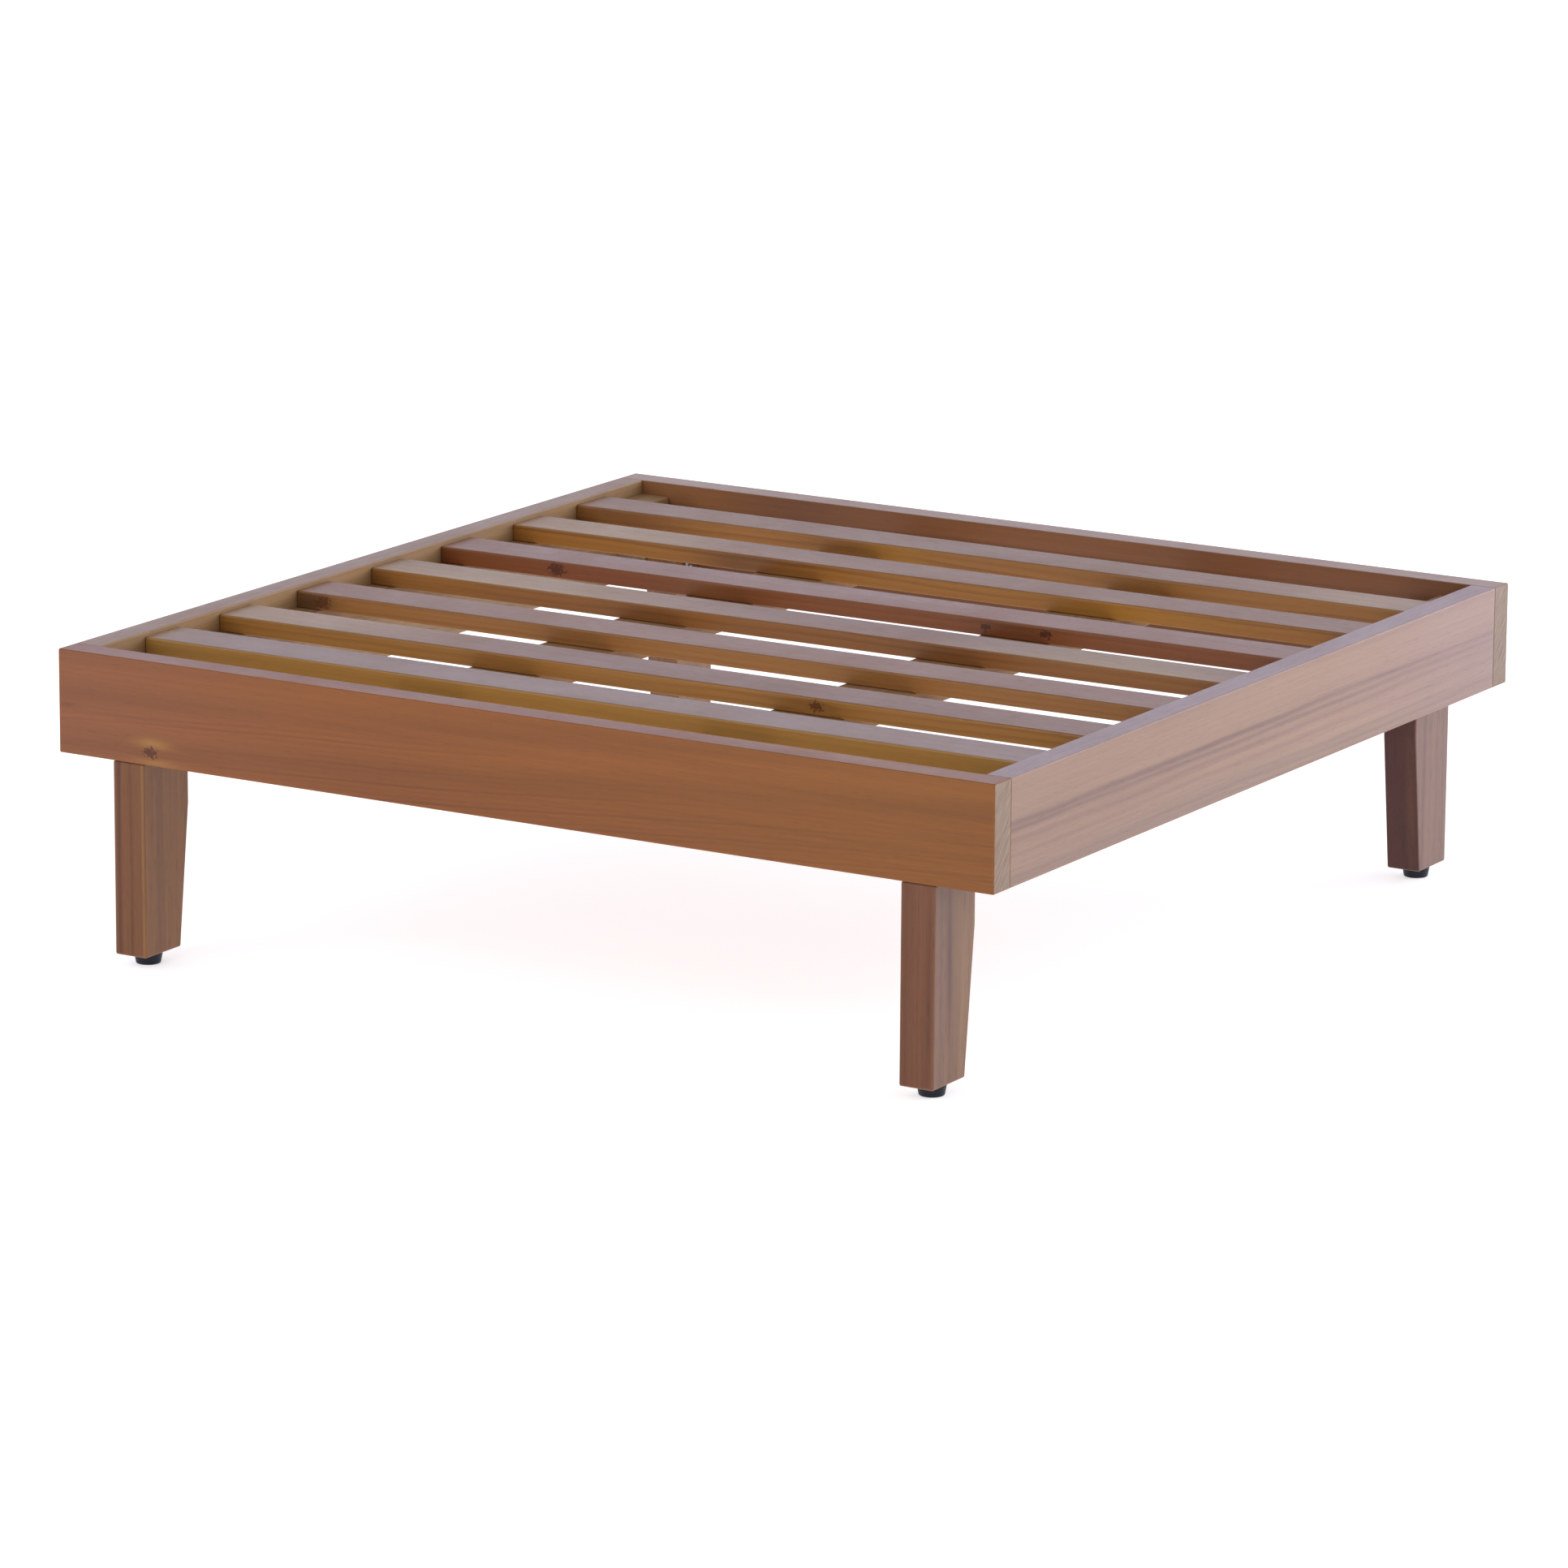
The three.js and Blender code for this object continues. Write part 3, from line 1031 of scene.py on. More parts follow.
@dataclass
class RailBoards:
    """The four boards on edge: the front and back ones run past the side ones."""

    ease: float = 1.0 * MM
    inner_ease: float = 0.9 * MM
    tight: float = 0.4 * MM
    front: WoodFinish = WoodFinish(
        pale=(0.210, 0.063, 0.012), deep=(0.128, 0.033, 0.006), cast=(0.238, 0.075, 0.011),
        seed=1.3, pith=(-0.09, 0.11), lean=(0.0, -0.06), ring=0.0033, sway=0.004,
        streaks=0.24, figure=0.90, plain_above=0.004,
        knots=(Knot(-0.317, -0.0295, 0.0040),),
        tints=(Tint((0.222, 0.076, 0.031), 0.75, along=-0.40, reach=0.17),
               Tint((0.222, 0.078, 0.010), 0.60, along=0.36, reach=0.22),
               Tint((0.370, 0.170, 0.040), 0.80, across=-0.0225, width=0.0040,
                    along=-0.315, reach=0.015),
               Tint((0.350, 0.160, 0.040), 0.65, across=-0.0365, width=0.0030,
                    along=-0.312, reach=0.018),
               Tint((0.130, 0.040, 0.014), 0.55, along=-0.392, reach=0.006,
                    across=-0.002, width=0.0014)))
    back: WoodFinish = WoodFinish(
        pale=(0.185, 0.068, 0.023), deep=(0.105, 0.036, 0.013), cast=(0.150, 0.052, 0.018),
        seed=5.1, pith=(0.06, -0.07), ring=0.0050,
        tints=(Tint((0.265, 0.118, 0.045), 0.80, Face.FRONT, along=-0.37, reach=0.07),
               Tint((0.095, 0.036, 0.018), 0.50, Face.FRONT, along=-0.23, reach=0.06),
               # The top face's paler, greyer colour is a painted sheen.
               Tint((0.300, 0.185, 0.130), 0.90, facing=Face.TOP)))
    left: WoodFinish = WoodFinish(
        pale=(0.350, 0.215, 0.105), deep=(0.250, 0.140, 0.065), cast=(0.330, 0.185, 0.075),
        seed=8.7, pith=(0.05, 0.04), ring=0.0046,
        # The top face's greyer colour is a painted sheen.
        tints=(Tint((0.245, 0.130, 0.070), 0.85, facing=Face.TOP),))
    right: WoodFinish = WoodFinish(
        pale=(0.290, 0.172, 0.118), deep=(0.187, 0.104, 0.073), cast=(0.268, 0.155, 0.105),
        seed=3.9, pith=(-0.055, 0.006), lean=(0.004, 0.012), ring=0.0030, sway=0.006,
        figure=0.62, plain_above=0.010,
        tints=(Tint((0.150, 0.078, 0.066), 0.80, across=0.0060, width=0.0026, wave=0.0030),
               Tint((0.150, 0.078, 0.066), 0.68, across=0.0010, width=0.0020, wave=0.0035),
               Tint((0.165, 0.090, 0.074), 0.50, across=-0.0070, width=0.0025, wave=0.0040),
               Tint((0.175, 0.098, 0.078), 0.40, across=-0.0160, width=0.0020, wave=0.0030),
               Tint((0.255, 0.165, 0.125), 0.55, across=-0.0330, width=0.0090,
                    along=-0.10, reach=0.40),
               Tint((0.270, 0.175, 0.165), 0.60, along=0.38, reach=0.16),
               # The top face's lilac-grey colour is a painted reflection of the cool sky.
               Tint((0.300, 0.205, 0.205), 0.90, facing=Face.TOP)))

    def build(self, shop: Workshop) -> None:
        """Makes and fits the four boards.

        Args:
            shop: Puts the pieces in place.
        """
        low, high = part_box("front_board")
        for node, inward, finish in (("front_board", 1, self.front),
                                     ("back_board", -1, self.back)):
            easing = replace(
                self._easing(inward), end_edges=self.ease, end_sides={(inward, 0): self.tight},
                tight=self.tight, butted=((inward, 1), (inward, -1)),
                butt_length=high.y - low.y)
            shop.bar(node, Grain.ACROSS, easing, finish, "rail_wood")
        for node, inward, finish in (("left_board", 1, self.left),
                                     ("right_board", -1, self.right)):
            shop.bar(node, Grain.DEEP, self._easing(inward), finish, "rail_wood")

    def _easing(self, inward: int) -> Easing:
        """Returns a side board's easing; inward is the sign of its inner face."""
        return Easing(
            corners={(side, up): self.inner_ease if side == inward else self.ease
                     for side in (1, -1) for up in (1, -1)},
            end_edges=self.tight)


# ---------------------------------------------------------------- deck


@dataclass
class SlatDeck:
    """The seven slats that run across, from the front to the back."""

    ease: float = 1.7 * MM
    lower_ease: float = 0.8 * MM
    end_ease: float = 0.6 * MM
    unevenness: float = 0.35
    bow: float = 0.4 * MM
    base: WoodFinish = WoodFinish(
        pale=(0.215, 0.090, 0.022), deep=(0.130, 0.048, 0.013), cast=(0.240, 0.105, 0.022),
        pith=(0.02, -0.05), ring=0.0040, sway=0.006)

    def timbers(self) -> tuple[WoodFinish, ...]:
        """Returns each slat's own timber, from the front slat to the back one."""
        base = self.base
        # The first tint of each slat is the painted sheen on its top face.
        return (
            replace(base, seed=11.2, pale=(0.385, 0.205, 0.052), deep=(0.265, 0.130, 0.036),
                    cast=(0.420, 0.220, 0.045), pith=(-0.05, 0.05), figure=0.35,
                    tints=(self._top_sheen(0.200, 0.118, 0.098),
                           self._patch(0.30, 0.17, 0.07, -0.39, 0.03, Face.TOP))),
            replace(base, seed=12.9, pale=(0.305, 0.138, 0.030), deep=(0.190, 0.074, 0.018),
                    cast=(0.330, 0.150, 0.030), pith=(0.03, -0.045),
                    knots=(Knot(0.150, 0.0, 0.0035),),
                    tints=(self._top_sheen(0.175, 0.072, 0.032),
                           self._patch(0.34, 0.21, 0.10, -0.33, 0.12, Face.TOP))),
            replace(base, seed=14.1, pale=(0.285, 0.122, 0.033), deep=(0.175, 0.068, 0.017),
                    cast=(0.305, 0.132, 0.030), pith=(-0.03, -0.06),
                    knots=(Knot(-0.354, 0.0, 0.0045),),
                    tints=(self._top_sheen(0.200, 0.082, 0.030),
                           Tint((0.070, 0.034, 0.020), 0.75, Face.FRONT,
                                along=-0.365, reach=0.022))),
            replace(base, seed=16.8, pale=(0.210, 0.080, 0.019), deep=(0.128, 0.044, 0.012),
                    cast=(0.240, 0.096, 0.020), pith=(0.04, 0.06),
                    tints=(self._top_sheen(0.200, 0.084, 0.030),
                           self._patch(0.36, 0.23, 0.10, -0.26, 0.15, Face.TOP),
                           self._patch(0.30, 0.19, 0.08, 0.28, 0.10, Face.TOP),
                           self._patch(0.250, 0.105, 0.020, -0.33, 0.06, Face.FRONT))),
            replace(base, seed=18.4, pale=(0.175, 0.053, 0.013), deep=(0.098, 0.028, 0.009),
                    cast=(0.155, 0.040, 0.012), pith=(0.01, 0.04),
                    knots=(Knot(0.118, 0.0, 0.0030), Knot(0.171, 0.001, 0.0035),
                           Knot(-0.270, 0.0, 0.0045)),
                    tints=(self._top_sheen(0.225, 0.095, 0.045),
                           self._patch(0.230, 0.085, 0.025, -0.13, 0.03, Face.FRONT))),
            replace(base, seed=20.3, pale=(0.270, 0.110, 0.019), deep=(0.165, 0.057, 0.012),
                    cast=(0.300, 0.124, 0.020), pith=(-0.06, 0.03),
                    tints=(self._top_sheen(0.195, 0.086, 0.034),
                           self._patch(0.34, 0.21, 0.09, -0.30, 0.10, Face.TOP),
                           self._patch(0.130, 0.046, 0.013, -0.17, 0.035, Face.FRONT),
                           self._patch(0.360, 0.160, 0.020, 0.17, 0.07, Face.FRONT))),
            replace(base, seed=22.6, pale=(0.285, 0.122, 0.030), deep=(0.180, 0.062, 0.014),
                    cast=(0.310, 0.130, 0.026), pith=(0.05, -0.05),
                    tints=(self._top_sheen(0.200, 0.094, 0.040),
                           self._patch(0.140, 0.052, 0.016, -0.33, 0.06, Face.FRONT),
                           self._patch(0.340, 0.160, 0.030, -0.08, 0.03, Face.FRONT),
                           self._patch(0.32, 0.20, 0.10, 0.33, 0.08, Face.TOP))),
        )

    @staticmethod
    def _top_sheen(red: float, green: float, blue: float) -> Tint:
        """Returns a slat's top-face colour: a painted sheen, the greyer tone that the top takes
        from reflected light.
        """
        return Tint((red, green, blue), 0.85, facing=Face.TOP)

    @staticmethod
    def _patch(red: float, green: float, blue: float, along: float, reach: float,
               face: Face) -> Tint:
        """Returns another colour on part of one face of a slat."""
        return Tint((red, green, blue), 0.75, facing=face, along=along, reach=reach)

    def build(self, shop: Workshop) -> None:
        """Makes and fits the slats.

        Args:
            shop: Puts the pieces in place.
        """
        easing = Easing(long_edges=self.ease, end_edges=self.end_ease,
                        corners={(-1, -1): self.lower_ease, (1, -1): self.lower_ease})
        for number, finish in enumerate(self.timbers(), 1):
            shop.bar(f"slat_{number}", Grain.ACROSS, easing, finish, "slat_wood",
                     unevenness=self.unevenness, bow=self.bow)


@dataclass
class Battens:
    """The two laths under the slats, and the two ledgers that carry the slat ends."""

    ease: float = 1.0 * MM
    base: WoodFinish = WoodFinish(
        pale=(0.300, 0.165, 0.080), deep=(0.215, 0.110, 0.052), cast=(0.320, 0.180, 0.085),
        pith=(0.03, -0.05), ring=0.0044, roughness=0.55, gloss=0.3)

    def build(self, shop: Workshop) -> None:
        """Makes and fits the laths and ledgers.

        Args:
            shop: Puts the pieces in place.
        """
        for seed, node in enumerate(("left_lath", "right_lath", "left_ledger",
                                     "right_ledger"), 31):
            shop.bar(node, Grain.DEEP, Easing(long_edges=self.ease),
                     replace(self.base, seed=float(seed)), "batten_wood")


# ---------------------------------------------------------------- corners


@dataclass
class CornerBlocks:
    """The blocks in the corners, drilled for the insert nuts."""

    ease: float = 1.2 * MM
    end_ease: float = 1.0 * MM
    spacing: float = 15.0 * MM
    clearance: float = 0.3 * MM
    spare_depth: float = 3.0 * MM
    base: WoodFinish = WoodFinish(
        pale=(0.300, 0.175, 0.080), deep=(0.205, 0.112, 0.050), cast=(0.330, 0.190, 0.080),
        pith=(0.03, -0.06), ring=0.0050, roughness=0.55, gloss=0.3)

    def build(self, shop: Workshop) -> None:
        """Makes and fits the four blocks.

        Args:
            shop: Puts the pieces in place.
        """
        easing = Easing(long_edges=self.ease, end_edges=self.end_ease)
        for seed, corner in enumerate(CORNERS, 41):
            drills = [self._drill(f"{level}_insert_{corner}") for level in LEVELS]
            shop.bar(f"corner_block_{corner}", Grain.DEEP, easing,
                     replace(self.base, seed=float(seed)), "batten_wood", drills,
                     spacing=self.spacing)

    def _drill(self, insert: str) -> bpy.types.Mesh:
        """Returns the hole for one insert nut, open towards the leg."""
        low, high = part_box(insert)
        middle = (low + high) / 2
        side = 1 if middle.x > 0 else -1
        radius = (high.z - low.z) / 2 + self.clearance
        depth = (high.x - low.x) + self.spare_depth
        mouth = Vector((low.x if side > 0 else high.x, middle.y, middle.z))
        place = Matrix.Translation(mouth) @ turned_sideways(-side)
        return TurnedMaker(bore(radius, -depth, MM)).mesh("drill", place)


@dataclass
class Legs:
    """Four legs, notched to stand behind and under the front and back boards."""

    ease: float = 1.6 * MM
    ease_steps: int = 4
    clearance: float = 0.3 * MM
    bolt_hole: float = 3.3 * MM  # radius
    stem_room: float = 4.0 * MM  # above the stem, turned fully in
    foot_depth: float = 45.0 * MM  # front to back, at the floor end
    taper_drop: float = 40.0 * MM  # from the boards' bottom edge to the taper's start
    timbers: dict[str, WoodFinish] = field(default_factory=lambda: {
        "front_left": WoodFinish(
            pale=(0.205, 0.084, 0.029), deep=(0.115, 0.040, 0.016), cast=(0.215, 0.092, 0.027),
            seed=51.0, pith=(-0.05, 0.03), ring=0.0031, figure=0.50, streaks=0.50, pores=0.24,
            # Front faces are painted darker than the sides: painted shade.
            tints=(Tint((0.165, 0.056, 0.018), 0.70, facing=Face.FRONT),
                   Tint((0.085, 0.024, 0.014), 0.70, across=-0.0085, width=0.0022, axis=0,
                        wave=0.0018),
                   Tint((0.085, 0.026, 0.014), 0.40, Face.FRONT, across=0.0015,
                        width=0.0012, axis=0, wave=0.0020),
                   Tint((0.110, 0.045, 0.026), 0.45, Face.RIGHT, across=-0.010,
                        width=0.0035, wave=0.004),
                   # A narrow pale line along the front face's rounded right edge: a painted
                   # highlight.
                   Tint((0.300, 0.150, 0.050), 0.45, Face.FRONT, across=0.0125,
                        width=0.0013, axis=0, wave=0.0010))),
        "front_right": WoodFinish(
            pale=(0.205, 0.102, 0.052), deep=(0.112, 0.048, 0.028), cast=(0.212, 0.108, 0.054),
            seed=52.0, pith=(-0.035, 0.0), ring=0.0034, figure=0.55, streaks=0.50, pores=0.24,
            # Front faces are painted darker than the sides: painted shade.
            tints=(Tint((0.145, 0.044, 0.016), 0.80, facing=Face.FRONT),
                   Tint((0.100, 0.026, 0.015), 0.60, Face.FRONT, across=0.0095,
                        width=0.0018, axis=0, wave=0.0012, along=-0.04, reach=0.06),
                   Tint((0.150, 0.074, 0.052), 0.75, Face.RIGHT, across=-0.022,
                        width=0.0100, wave=0.004),
                   Tint((0.085, 0.030, 0.030), 0.85, Face.RIGHT, across=-0.008,
                        width=0.0040, wave=0.006, along=-0.01, reach=0.06),
                   Tint((0.260, 0.145, 0.068), 0.45, Face.RIGHT, across=0.012,
                        width=0.0060, wave=0.004, along=-0.03, reach=0.06))),
        "back_left": WoodFinish(
            pale=(0.200, 0.090, 0.034), deep=(0.120, 0.048, 0.018), cast=(0.220, 0.100, 0.034),
            seed=53.0, pith=(0.04, 0.03), ring=0.0032, streaks=0.50,
            pores=0.24),
        "back_right": WoodFinish(
            pale=(0.190, 0.102, 0.074), deep=(0.112, 0.052, 0.040), cast=(0.180, 0.090, 0.062),
            seed=54.0, pith=(0.02, -0.06), ring=0.0026, figure=0.7, streaks=0.50, pores=0.24,
            # The front face, turned in under the frame, is painted near black: painted shade.
            tints=(Tint((0.058, 0.012, 0.011), 0.88, facing=Face.FRONT),
                   Tint((0.120, 0.048, 0.022), 0.55, Face.FRONT, across=0.008,
                        width=0.0040, axis=0, wave=0.003, along=-0.05, reach=0.07),
                   Tint((0.130, 0.058, 0.060), 0.60, Face.RIGHT, across=-0.012,
                        width=0.0020, wave=0.002))),
    })

    def build(self, shop: Workshop) -> None:
        """Makes and fits the four legs.

        Args:
            shop: Puts the pieces in place.
        """
        for corner in CORNERS:
            node = f"leg_{corner}"
            drills = [self._bolt_hole(f"{level}_bolt_{corner}") for level in LEVELS]
            drills.append(self._foot_hole(corner))
            mesh = drilled(self._blank(node, corner), drills)
            material = self.timbers[corner].dress(node, stock_of(node, Grain.UPRIGHT))
            shop.fit(node, mesh, material)

    def _outline(self, corner: str) -> list[tuple[float, float]]:
        """Returns the leg's outline in Y and Z, from the foot of its outer face."""
        low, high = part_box(f"leg_{corner}")
        board = f"{corner.split('_')[0]}_board"
        board_low, board_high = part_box(board)
        inward = 1 if low.y < 0 else -1
        outer = low.y if inward > 0 else high.y
        inner = high.y if inward > 0 else low.y
        back_of_board = board_high.y if inward > 0 else board_low.y
        notch = back_of_board + inward * self.clearance
        shoulder = board_low.z - self.clearance
        taper = board_low.z - self.taper_drop
        return [(outer, low.z), (outer + inward * self.foot_depth, low.z), (inner, taper),
                (inner, high.z), (notch, high.z), (notch, shoulder), (outer, shoulder)]

    def _blank(self, node: str, corner: str) -> bpy.types.Mesh:
        """Builds the undrilled leg.

        Args:
            node: The CAD node.
            corner: The corner that it stands in.

        Returns:
            A closed mesh with eased edges.
        """
        low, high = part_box(node)
        outline = self._outline(corner)
        shape = bmesh.new()
        near = [shape.verts.new((low.x, y, z)) for y, z in outline]
        far = [shape.verts.new((high.x, y, z)) for y, z in outline]
        for i in range(len(outline)):
            j = (i + 1) % len(outline)
            shape.faces.new((near[i], near[j], far[j], far[i]))
        shape.faces.new(near)
        shape.faces.new(far)
        bmesh.ops.recalc_face_normals(shape, faces=shape.faces)
        bmesh.ops.bevel(shape, geom=list(shape.edges), offset=self.ease,
                        segments=self.ease_steps, profile=0.5, affect="EDGES",
                        clamp_overlap=True)
        return smooth_mesh(node, shape)

    def _bolt_hole(self, bolt: str) -> bpy.types.Mesh:
        """Returns the hole right through the leg for one bolt."""
        low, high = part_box(bolt)
        reach = high.x - low.x
        place = Matrix.Translation((low + high) / 2) @ turned_sideways(1)
        return TurnedMaker(bore(self.bolt_hole, -reach, reach)).mesh("drill", place)

    def _foot_hole(self, corner: str) -> bpy.types.Mesh:
        """Returns the stepped hole in the leg's foot for the sleeve and the stem."""
        low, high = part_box(f"foot_insert_{corner}")
        stem_low, stem_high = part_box(f"foot_stem_{corner}")
        middle = (low + high) / 2
        wide = (high.x - low.x) / 2 + self.clearance
        narrow = (stem_high.x - stem_low.x) / 2 + self.clearance
        top = stem_high.z + self.stem_room - low.z
        step = high.z - low.z + self.clearance
        profile = bore(wide, -MM, step)[:3] + bore(narrow, step, top)[1:]
        base = Vector((middle.x, middle.y, low.z))
        return TurnedMaker(profile).mesh("drill", Matrix.Translation(base))


@dataclass
class Connectors:
    """The bolts that hold the legs, and the insert nuts in the wood."""

    head_height: float = 3.4 * MM
    head_wall: float = 1.4 * MM  # height where the head's dome starts
    head_crown: float = 0.55  # share of the head's radius where the dome ends
    head_edge: float = 0.2 * MM
    dome_steps: int = 7
    shank_radius: float = 3.0 * MM
    neck: float = 0.3 * MM  # fillet under the head
    tip: float = 0.6 * MM
    socket_radius: float = 2.3 * MM
    socket_depth: float = 2.0 * MM
    socket_rim: float = 0.5 * MM
    pitch: float = 1.0 * MM
    groove: float = 0.35 * MM
    thread_length: float = 14 * MM
    steel: MetalFinish = MetalFinish()
    brass: MetalFinish = MetalFinish(colour=(0.62, 0.43, 0.17), dull=(0.42, 0.28, 0.11))

    def build(self, shop: Workshop) -> None:
        """Makes and fits the bolts, and refinishes the insert nuts.

        Args:
            shop: Puts the pieces in place.
        """
        steel = self.steel.dress("bolt_steel")
        brass = self.brass.dress("insert_brass")
        for corner in CORNERS:
            for level in LEVELS:
                node = f"{level}_bolt_{corner}"
                shop.fit(node, self._bolt(node), steel)
                shop.refinish(f"{level}_insert_{corner}", brass)
            shop.refinish(f"foot_insert_{corner}", brass)

    def _bolt(self, node: str) -> bpy.types.Mesh:
        """Builds one bolt: a domed head with a hexagon socket on a threaded shank.

        Args:
            node: The CAD node.

        Returns:
            A closed mesh.
        """
        low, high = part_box(node)
        middle = (low + high) / 2
        side = 1 if middle.x > 0 else -1
        radius = (high.z - low.z) / 2
        length = high.x - low.x - self.head_height
        top = self.head_height
        floor = top - self.socket_depth
        profile = [(0.0, -length), (self.shank_radius - self.tip, -length)]
        turns = round(self.thread_length / self.pitch)
        for k in range(2 * turns):
            height = -length + self.tip + k * self.pitch / 2
            inset = 0.0 if k % 2 == 0 else self.groove
            profile.append((self.shank_radius - inset, height))
        profile += [(self.shank_radius, -0.5 * MM), (self.shank_radius + self.neck, 0.0),
                    (radius - self.head_edge, 0.0), (radius, self.head_edge)]
        for k in range(self.dome_steps):
            angle = QUARTER_TURN * k / self.dome_steps
            share = self.head_crown + (1.0 - self.head_crown) * math.cos(angle)
            rise = (top - self.head_wall) * math.sin(angle)
            profile.append((radius * share, self.head_wall + rise))
        profile.append((self.socket_radius + self.socket_rim, top))
        hexagons = (len(profile), len(profile) + 1)
        profile += [(self.socket_radius, top - 0.3 * MM), (self.socket_radius, floor),
                    (0.0, floor - 0.5 * MM)]
        seat = Vector((low.x + self.head_height if side > 0 else high.x - self.head_height,
                       middle.y, middle.z))
        place = Matrix.Translation(seat) @ turned_sideways(-side)
        return TurnedMaker(profile, hexagons).mesh(node, place)


@dataclass
class LevellingFeet:
    """A moulded pad on a threaded stem, at the foot of each leg."""

    pitch: float = 1.25 * MM
    thread_depth: float = 0.55 * MM
    rounding: float = 1.2 * MM
    rounding_steps: int = 8
    taper: float = 1.5 * MM  # how much smaller the sole's radius is
    dish: float = 0.6 * MM  # how deep the sole is hollowed
    dish_rim: float = 4.4 * MM  # from the sole's edge in to the hollow
    collar: float = 1.6 * MM  # width of the step round the stem
    collar_depth: float = 0.2 * MM
    bevel: float = 0.3 * MM
    socket_depth: float = 5.0 * MM
    clearance: float = 0.3 * MM
    pad_steps: int = 64
    steel: MetalFinish = MetalFinish()
    plastic: PlasticFinish = PlasticFinish()

    def build(self, shop: Workshop) -> None:
        """Makes and fits the pads and stems.

        Args:
            shop: Puts the pieces in place.
        """
        steel = self.steel.dress("stem_steel")
        plastic = self.plastic.dress("pad_plastic")
        for corner in CORNERS:
            stem = f"foot_stem_{corner}"
            low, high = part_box(stem)
            rod = ThreadMaker((high.x - low.x) / 2, self.pitch, high.z - low.z,
                              self.thread_depth)
            base = Vector(((low.x + high.x) / 2, (low.y + high.y) / 2, low.z))
            shop.fit(stem, rod.mesh(stem, Matrix.Translation(base)), steel)
            pad = f"foot_pad_{corner}"
            shop.fit(pad, self._pad(pad, (high.x - low.x) / 2), plastic)

    def _pad(self, node: str, stem_radius: float) -> bpy.types.Mesh:
        """Builds one pad, tapered, with a rounded lower edge and a dished sole.

        Args:
            node: The CAD node.
            stem_radius: The radius of the stem that it holds.

        Returns:
            A closed mesh.
        """
        low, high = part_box(node)
        height = high.z - low.z
        top = (high.x - low.x) / 2
        bottom = top - self.taper
        recess = height - self.collar_depth
        socket = stem_radius + self.clearance
        profile = [(0.0, self.dish), (bottom - self.dish_rim - self.dish, self.dish),
                   (bottom - self.dish_rim, 0.0)]
        centre = bottom - self.rounding
        for k in range(self.rounding_steps + 1):
            angle = QUARTER_TURN * k / self.rounding_steps
            profile.append((centre + self.rounding * math.sin(angle),
                            self.rounding * (1 - math.cos(angle))))
        profile += [(top - 0.25 * MM, height - 1.3 * MM), (top, height - 0.8 * MM),
                    (top, height - self.bevel), (top - self.bevel, height),
                    (stem_radius + self.collar, height),
                    (stem_radius + self.collar - self.bevel, recess), (socket, recess),
                    (socket, height - self.socket_depth), (0.0, height - self.socket_depth)]
        base = Vector(((low.x + high.x) / 2, (low.y + high.y) / 2, low.z))
        return TurnedMaker(profile, steps=self.pad_steps).mesh(node, Matrix.Translation(base))


# ---------------------------------------------------------------- studio


@dataclass
class Softbox:
    """A square studio light, placed in frame widths and aimed at the frame."""

    name: str
    place: Triple
    size: float
    power: float
    colour: Triple = (1.0, 1.0, 1.0)

    def hang(self, centre: Vector, width: float) -> None:
        """Makes the light.

        Args:
            centre: What it is aimed at.
            width: The frame's width.
        """
        data = bpy.data.lights.new(self.name, "AREA")
        data.shape = "SQUARE"
        data.size = self.size * width
        data.energy = self.power
        data.color = self.colour
        lamp = put(self.name, data)
        lamp.location = centre + Vector(self.place) * width
        lamp.rotation_mode = "QUATERNION"
        lamp.rotation_quaternion = (centre - lamp.location).to_track_quat("-Z", "Y")


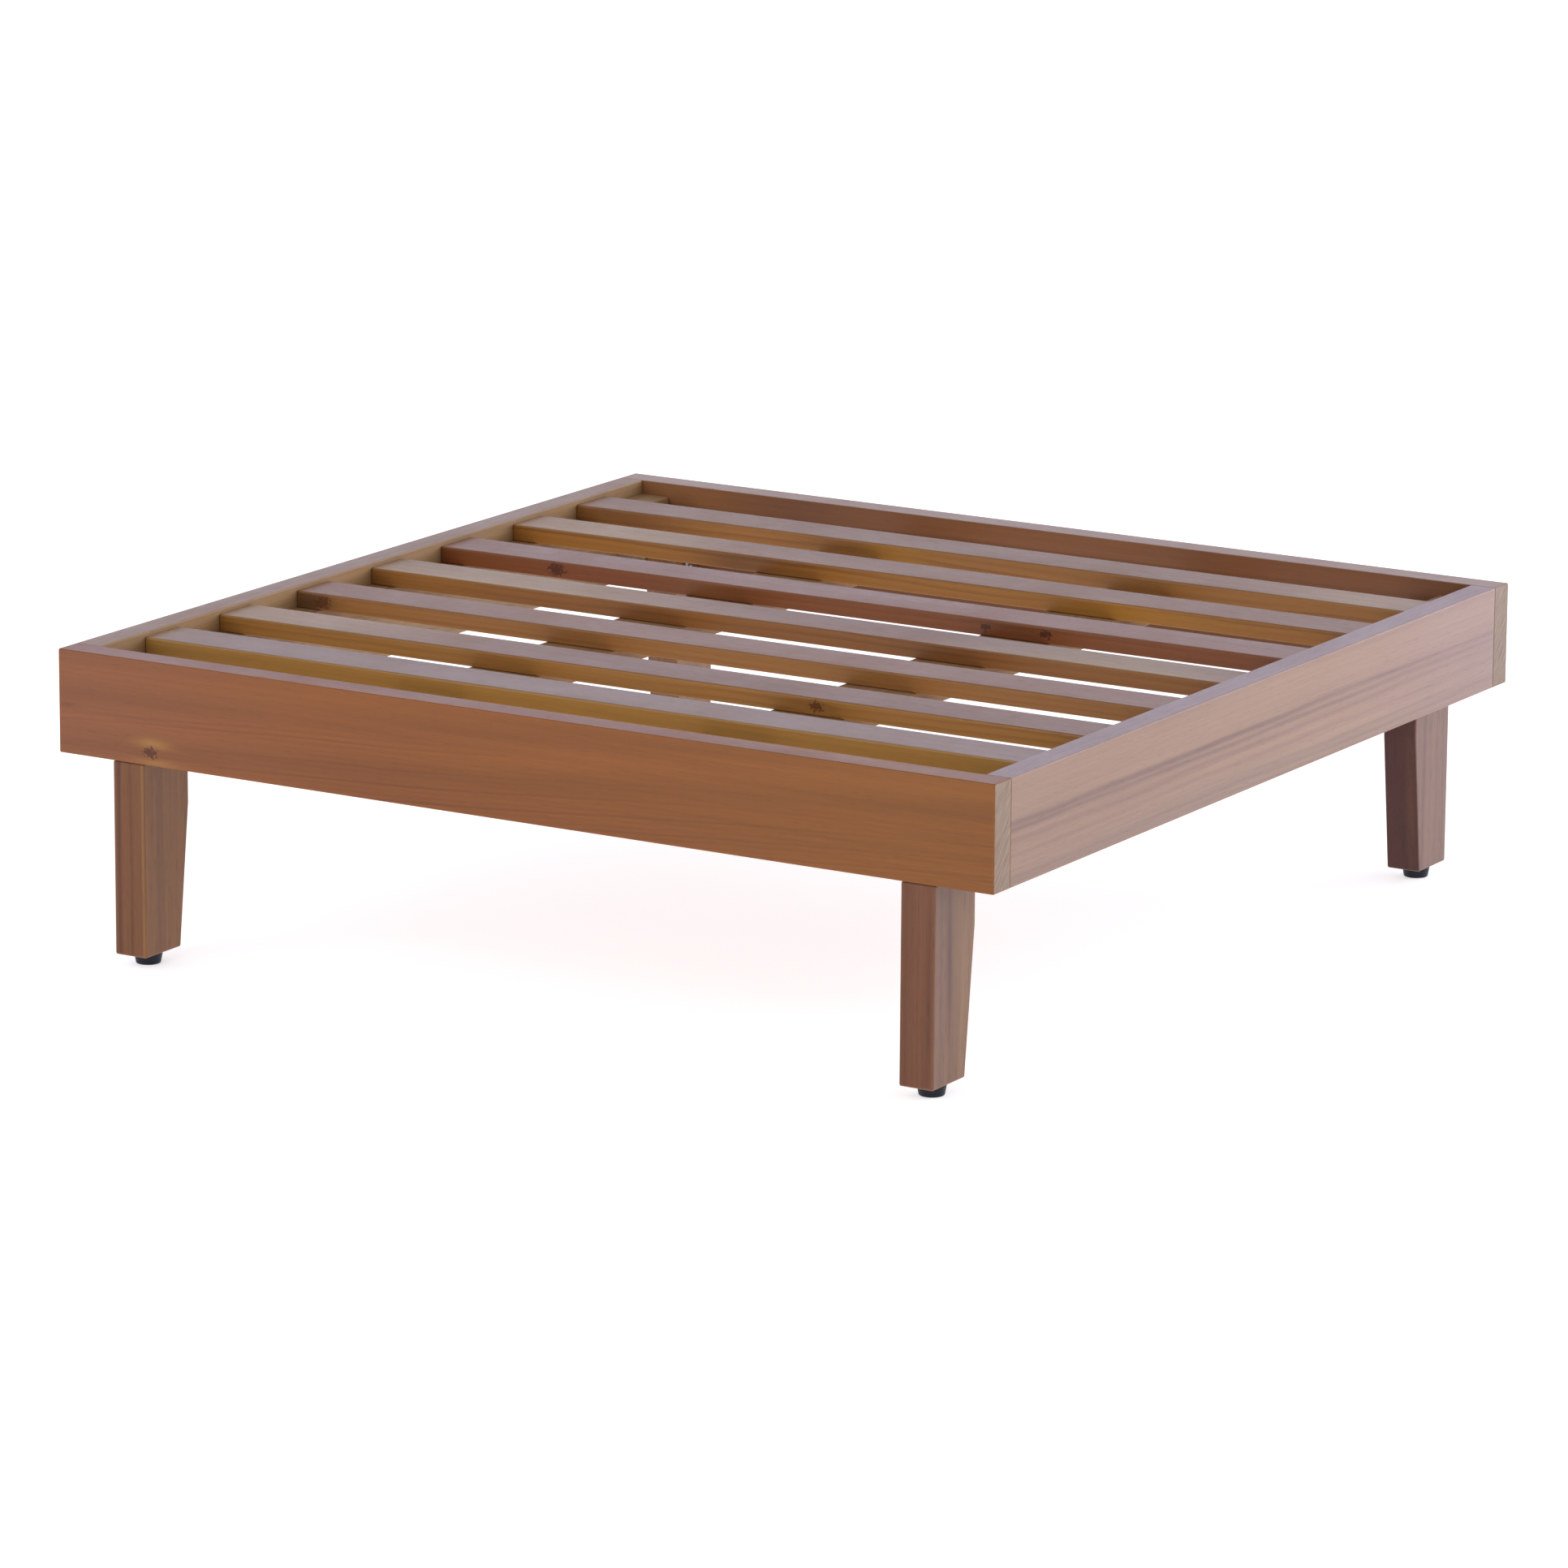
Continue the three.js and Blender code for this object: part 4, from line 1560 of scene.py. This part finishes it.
@dataclass
class Studio:
    """The floor, the lights and the camera."""

    azimuth: float = 31.193  # degrees to the right of the front
    elevation: float = 13.433
    roll: float = 0.393
    lens: float = 181.5
    sensor: float = 36.0
    sight: float = 100.0  # how far the camera sees, in metres
    distance: float = 7.4527  # in frame widths
    aim: Triple = (0.0254, -0.0677, 0.0003)  # from the middle, in frame widths
    floor_size: float = 40.0  # in metres
    sky_back: Triple = (1.20, 1.24, 1.55)
    sky_front: Triple = (0.62, 0.61, 0.60)
    sky_high: Triple = (0.55, 0.55, 0.58)
    lights: tuple[Softbox, ...] = (
        Softbox("side_light", (4.2, 2.0, 1.3), 3.2, 25.0),
        Softbox("back_light", (2.6, 4.2, 0.9), 2.4, 60.0, (0.94, 0.96, 1.0)),
        Softbox("front_light", (-1.5, -4.5, 2.0), 3.5, 40.0),
    )

    def build(self) -> None:
        """Makes the floor, the sky, the lights and the camera."""
        low, high = cad_box
        centre = (low + high) / 2
        width = high.x - low.x
        bpy.context.scene.view_settings.view_transform = "Standard"
        self._floor(low.z)
        self._sky()
        for light in self.lights:
            light.hang(centre, width)
        self._camera(centre, width)

    def _floor(self, height: float) -> None:
        """Lays the floor just under the feet.

        Args:
            height: The height of the feet's soles.
        """
        half = self.floor_size / 2
        shape = bmesh.new()
        corners = [shape.verts.new((x * half, y * half, height))
                   for x, y in ((-1, -1), (1, -1), (1, 1), (-1, 1))]
        shape.faces.new(corners)
        mesh = smooth_mesh("floor", shape)
        mesh.materials.append(FloorFinish().dress("floor_paint"))
        floor = put("floor", mesh)

    def _sky(self) -> None:
        """Surrounds the studio with soft light, brighter low down."""
        world = bpy.data.worlds.new("studio_sky")
        bpy.context.scene.world = world
        world.use_nodes = True
        g = Graph(world.node_tree)
        _, depth, rise = g.parts(g.place("Generated"))
        colour = g.mix(g.smooth(depth, -0.5, 0.5), self.sky_front, self.sky_back)
        colour = g.mix(g.smooth(rise, 0.20, 0.80), colour, self.sky_high)
        light = g.node("ShaderNodeBackground", {}, {"Color": colour, "Strength": 1.0})
        g.node("ShaderNodeOutputWorld", {}, {"Surface": light})

    def _camera(self, centre: Vector, width: float) -> None:
        """Places the camera.

        Args:
            centre: The middle of the frame.
            width: The frame's width.
        """
        turn, tilt = math.radians(self.azimuth), math.radians(self.elevation)
        back = Vector((math.sin(turn) * math.cos(tilt), -math.cos(turn) * math.cos(tilt),
                       math.sin(tilt)))
        data = bpy.data.cameras.new("camera")
        data.lens = self.lens
        data.sensor_width = self.sensor
        data.clip_end = self.sight
        camera = put("camera", data)
        camera.location = centre + Vector(self.aim) * width + back * (self.distance * width)
        camera.rotation_mode = "QUATERNION"
        level = (-back).to_track_quat("-Z", "Y")
        camera.rotation_quaternion = level @ Quaternion((0, 0, 1), math.radians(self.roll))
        bpy.context.scene.camera = camera


def main() -> None:
    """Builds the studio, then every sub-assembly in order."""
    logging.basicConfig(level=logging.INFO, format="%(name)s: %(message)s")
    Studio().build()
    shop = Workshop.from_record(frame["record"])
    for assembly in (RailBoards(), SlatDeck(), Battens(), CornerBlocks(), Legs(),
                     Connectors(), LevellingFeet()):
        assembly.build(shop)
        log.info("finished %s", type(assembly).__name__)


if __name__ == "__main__":
    main()
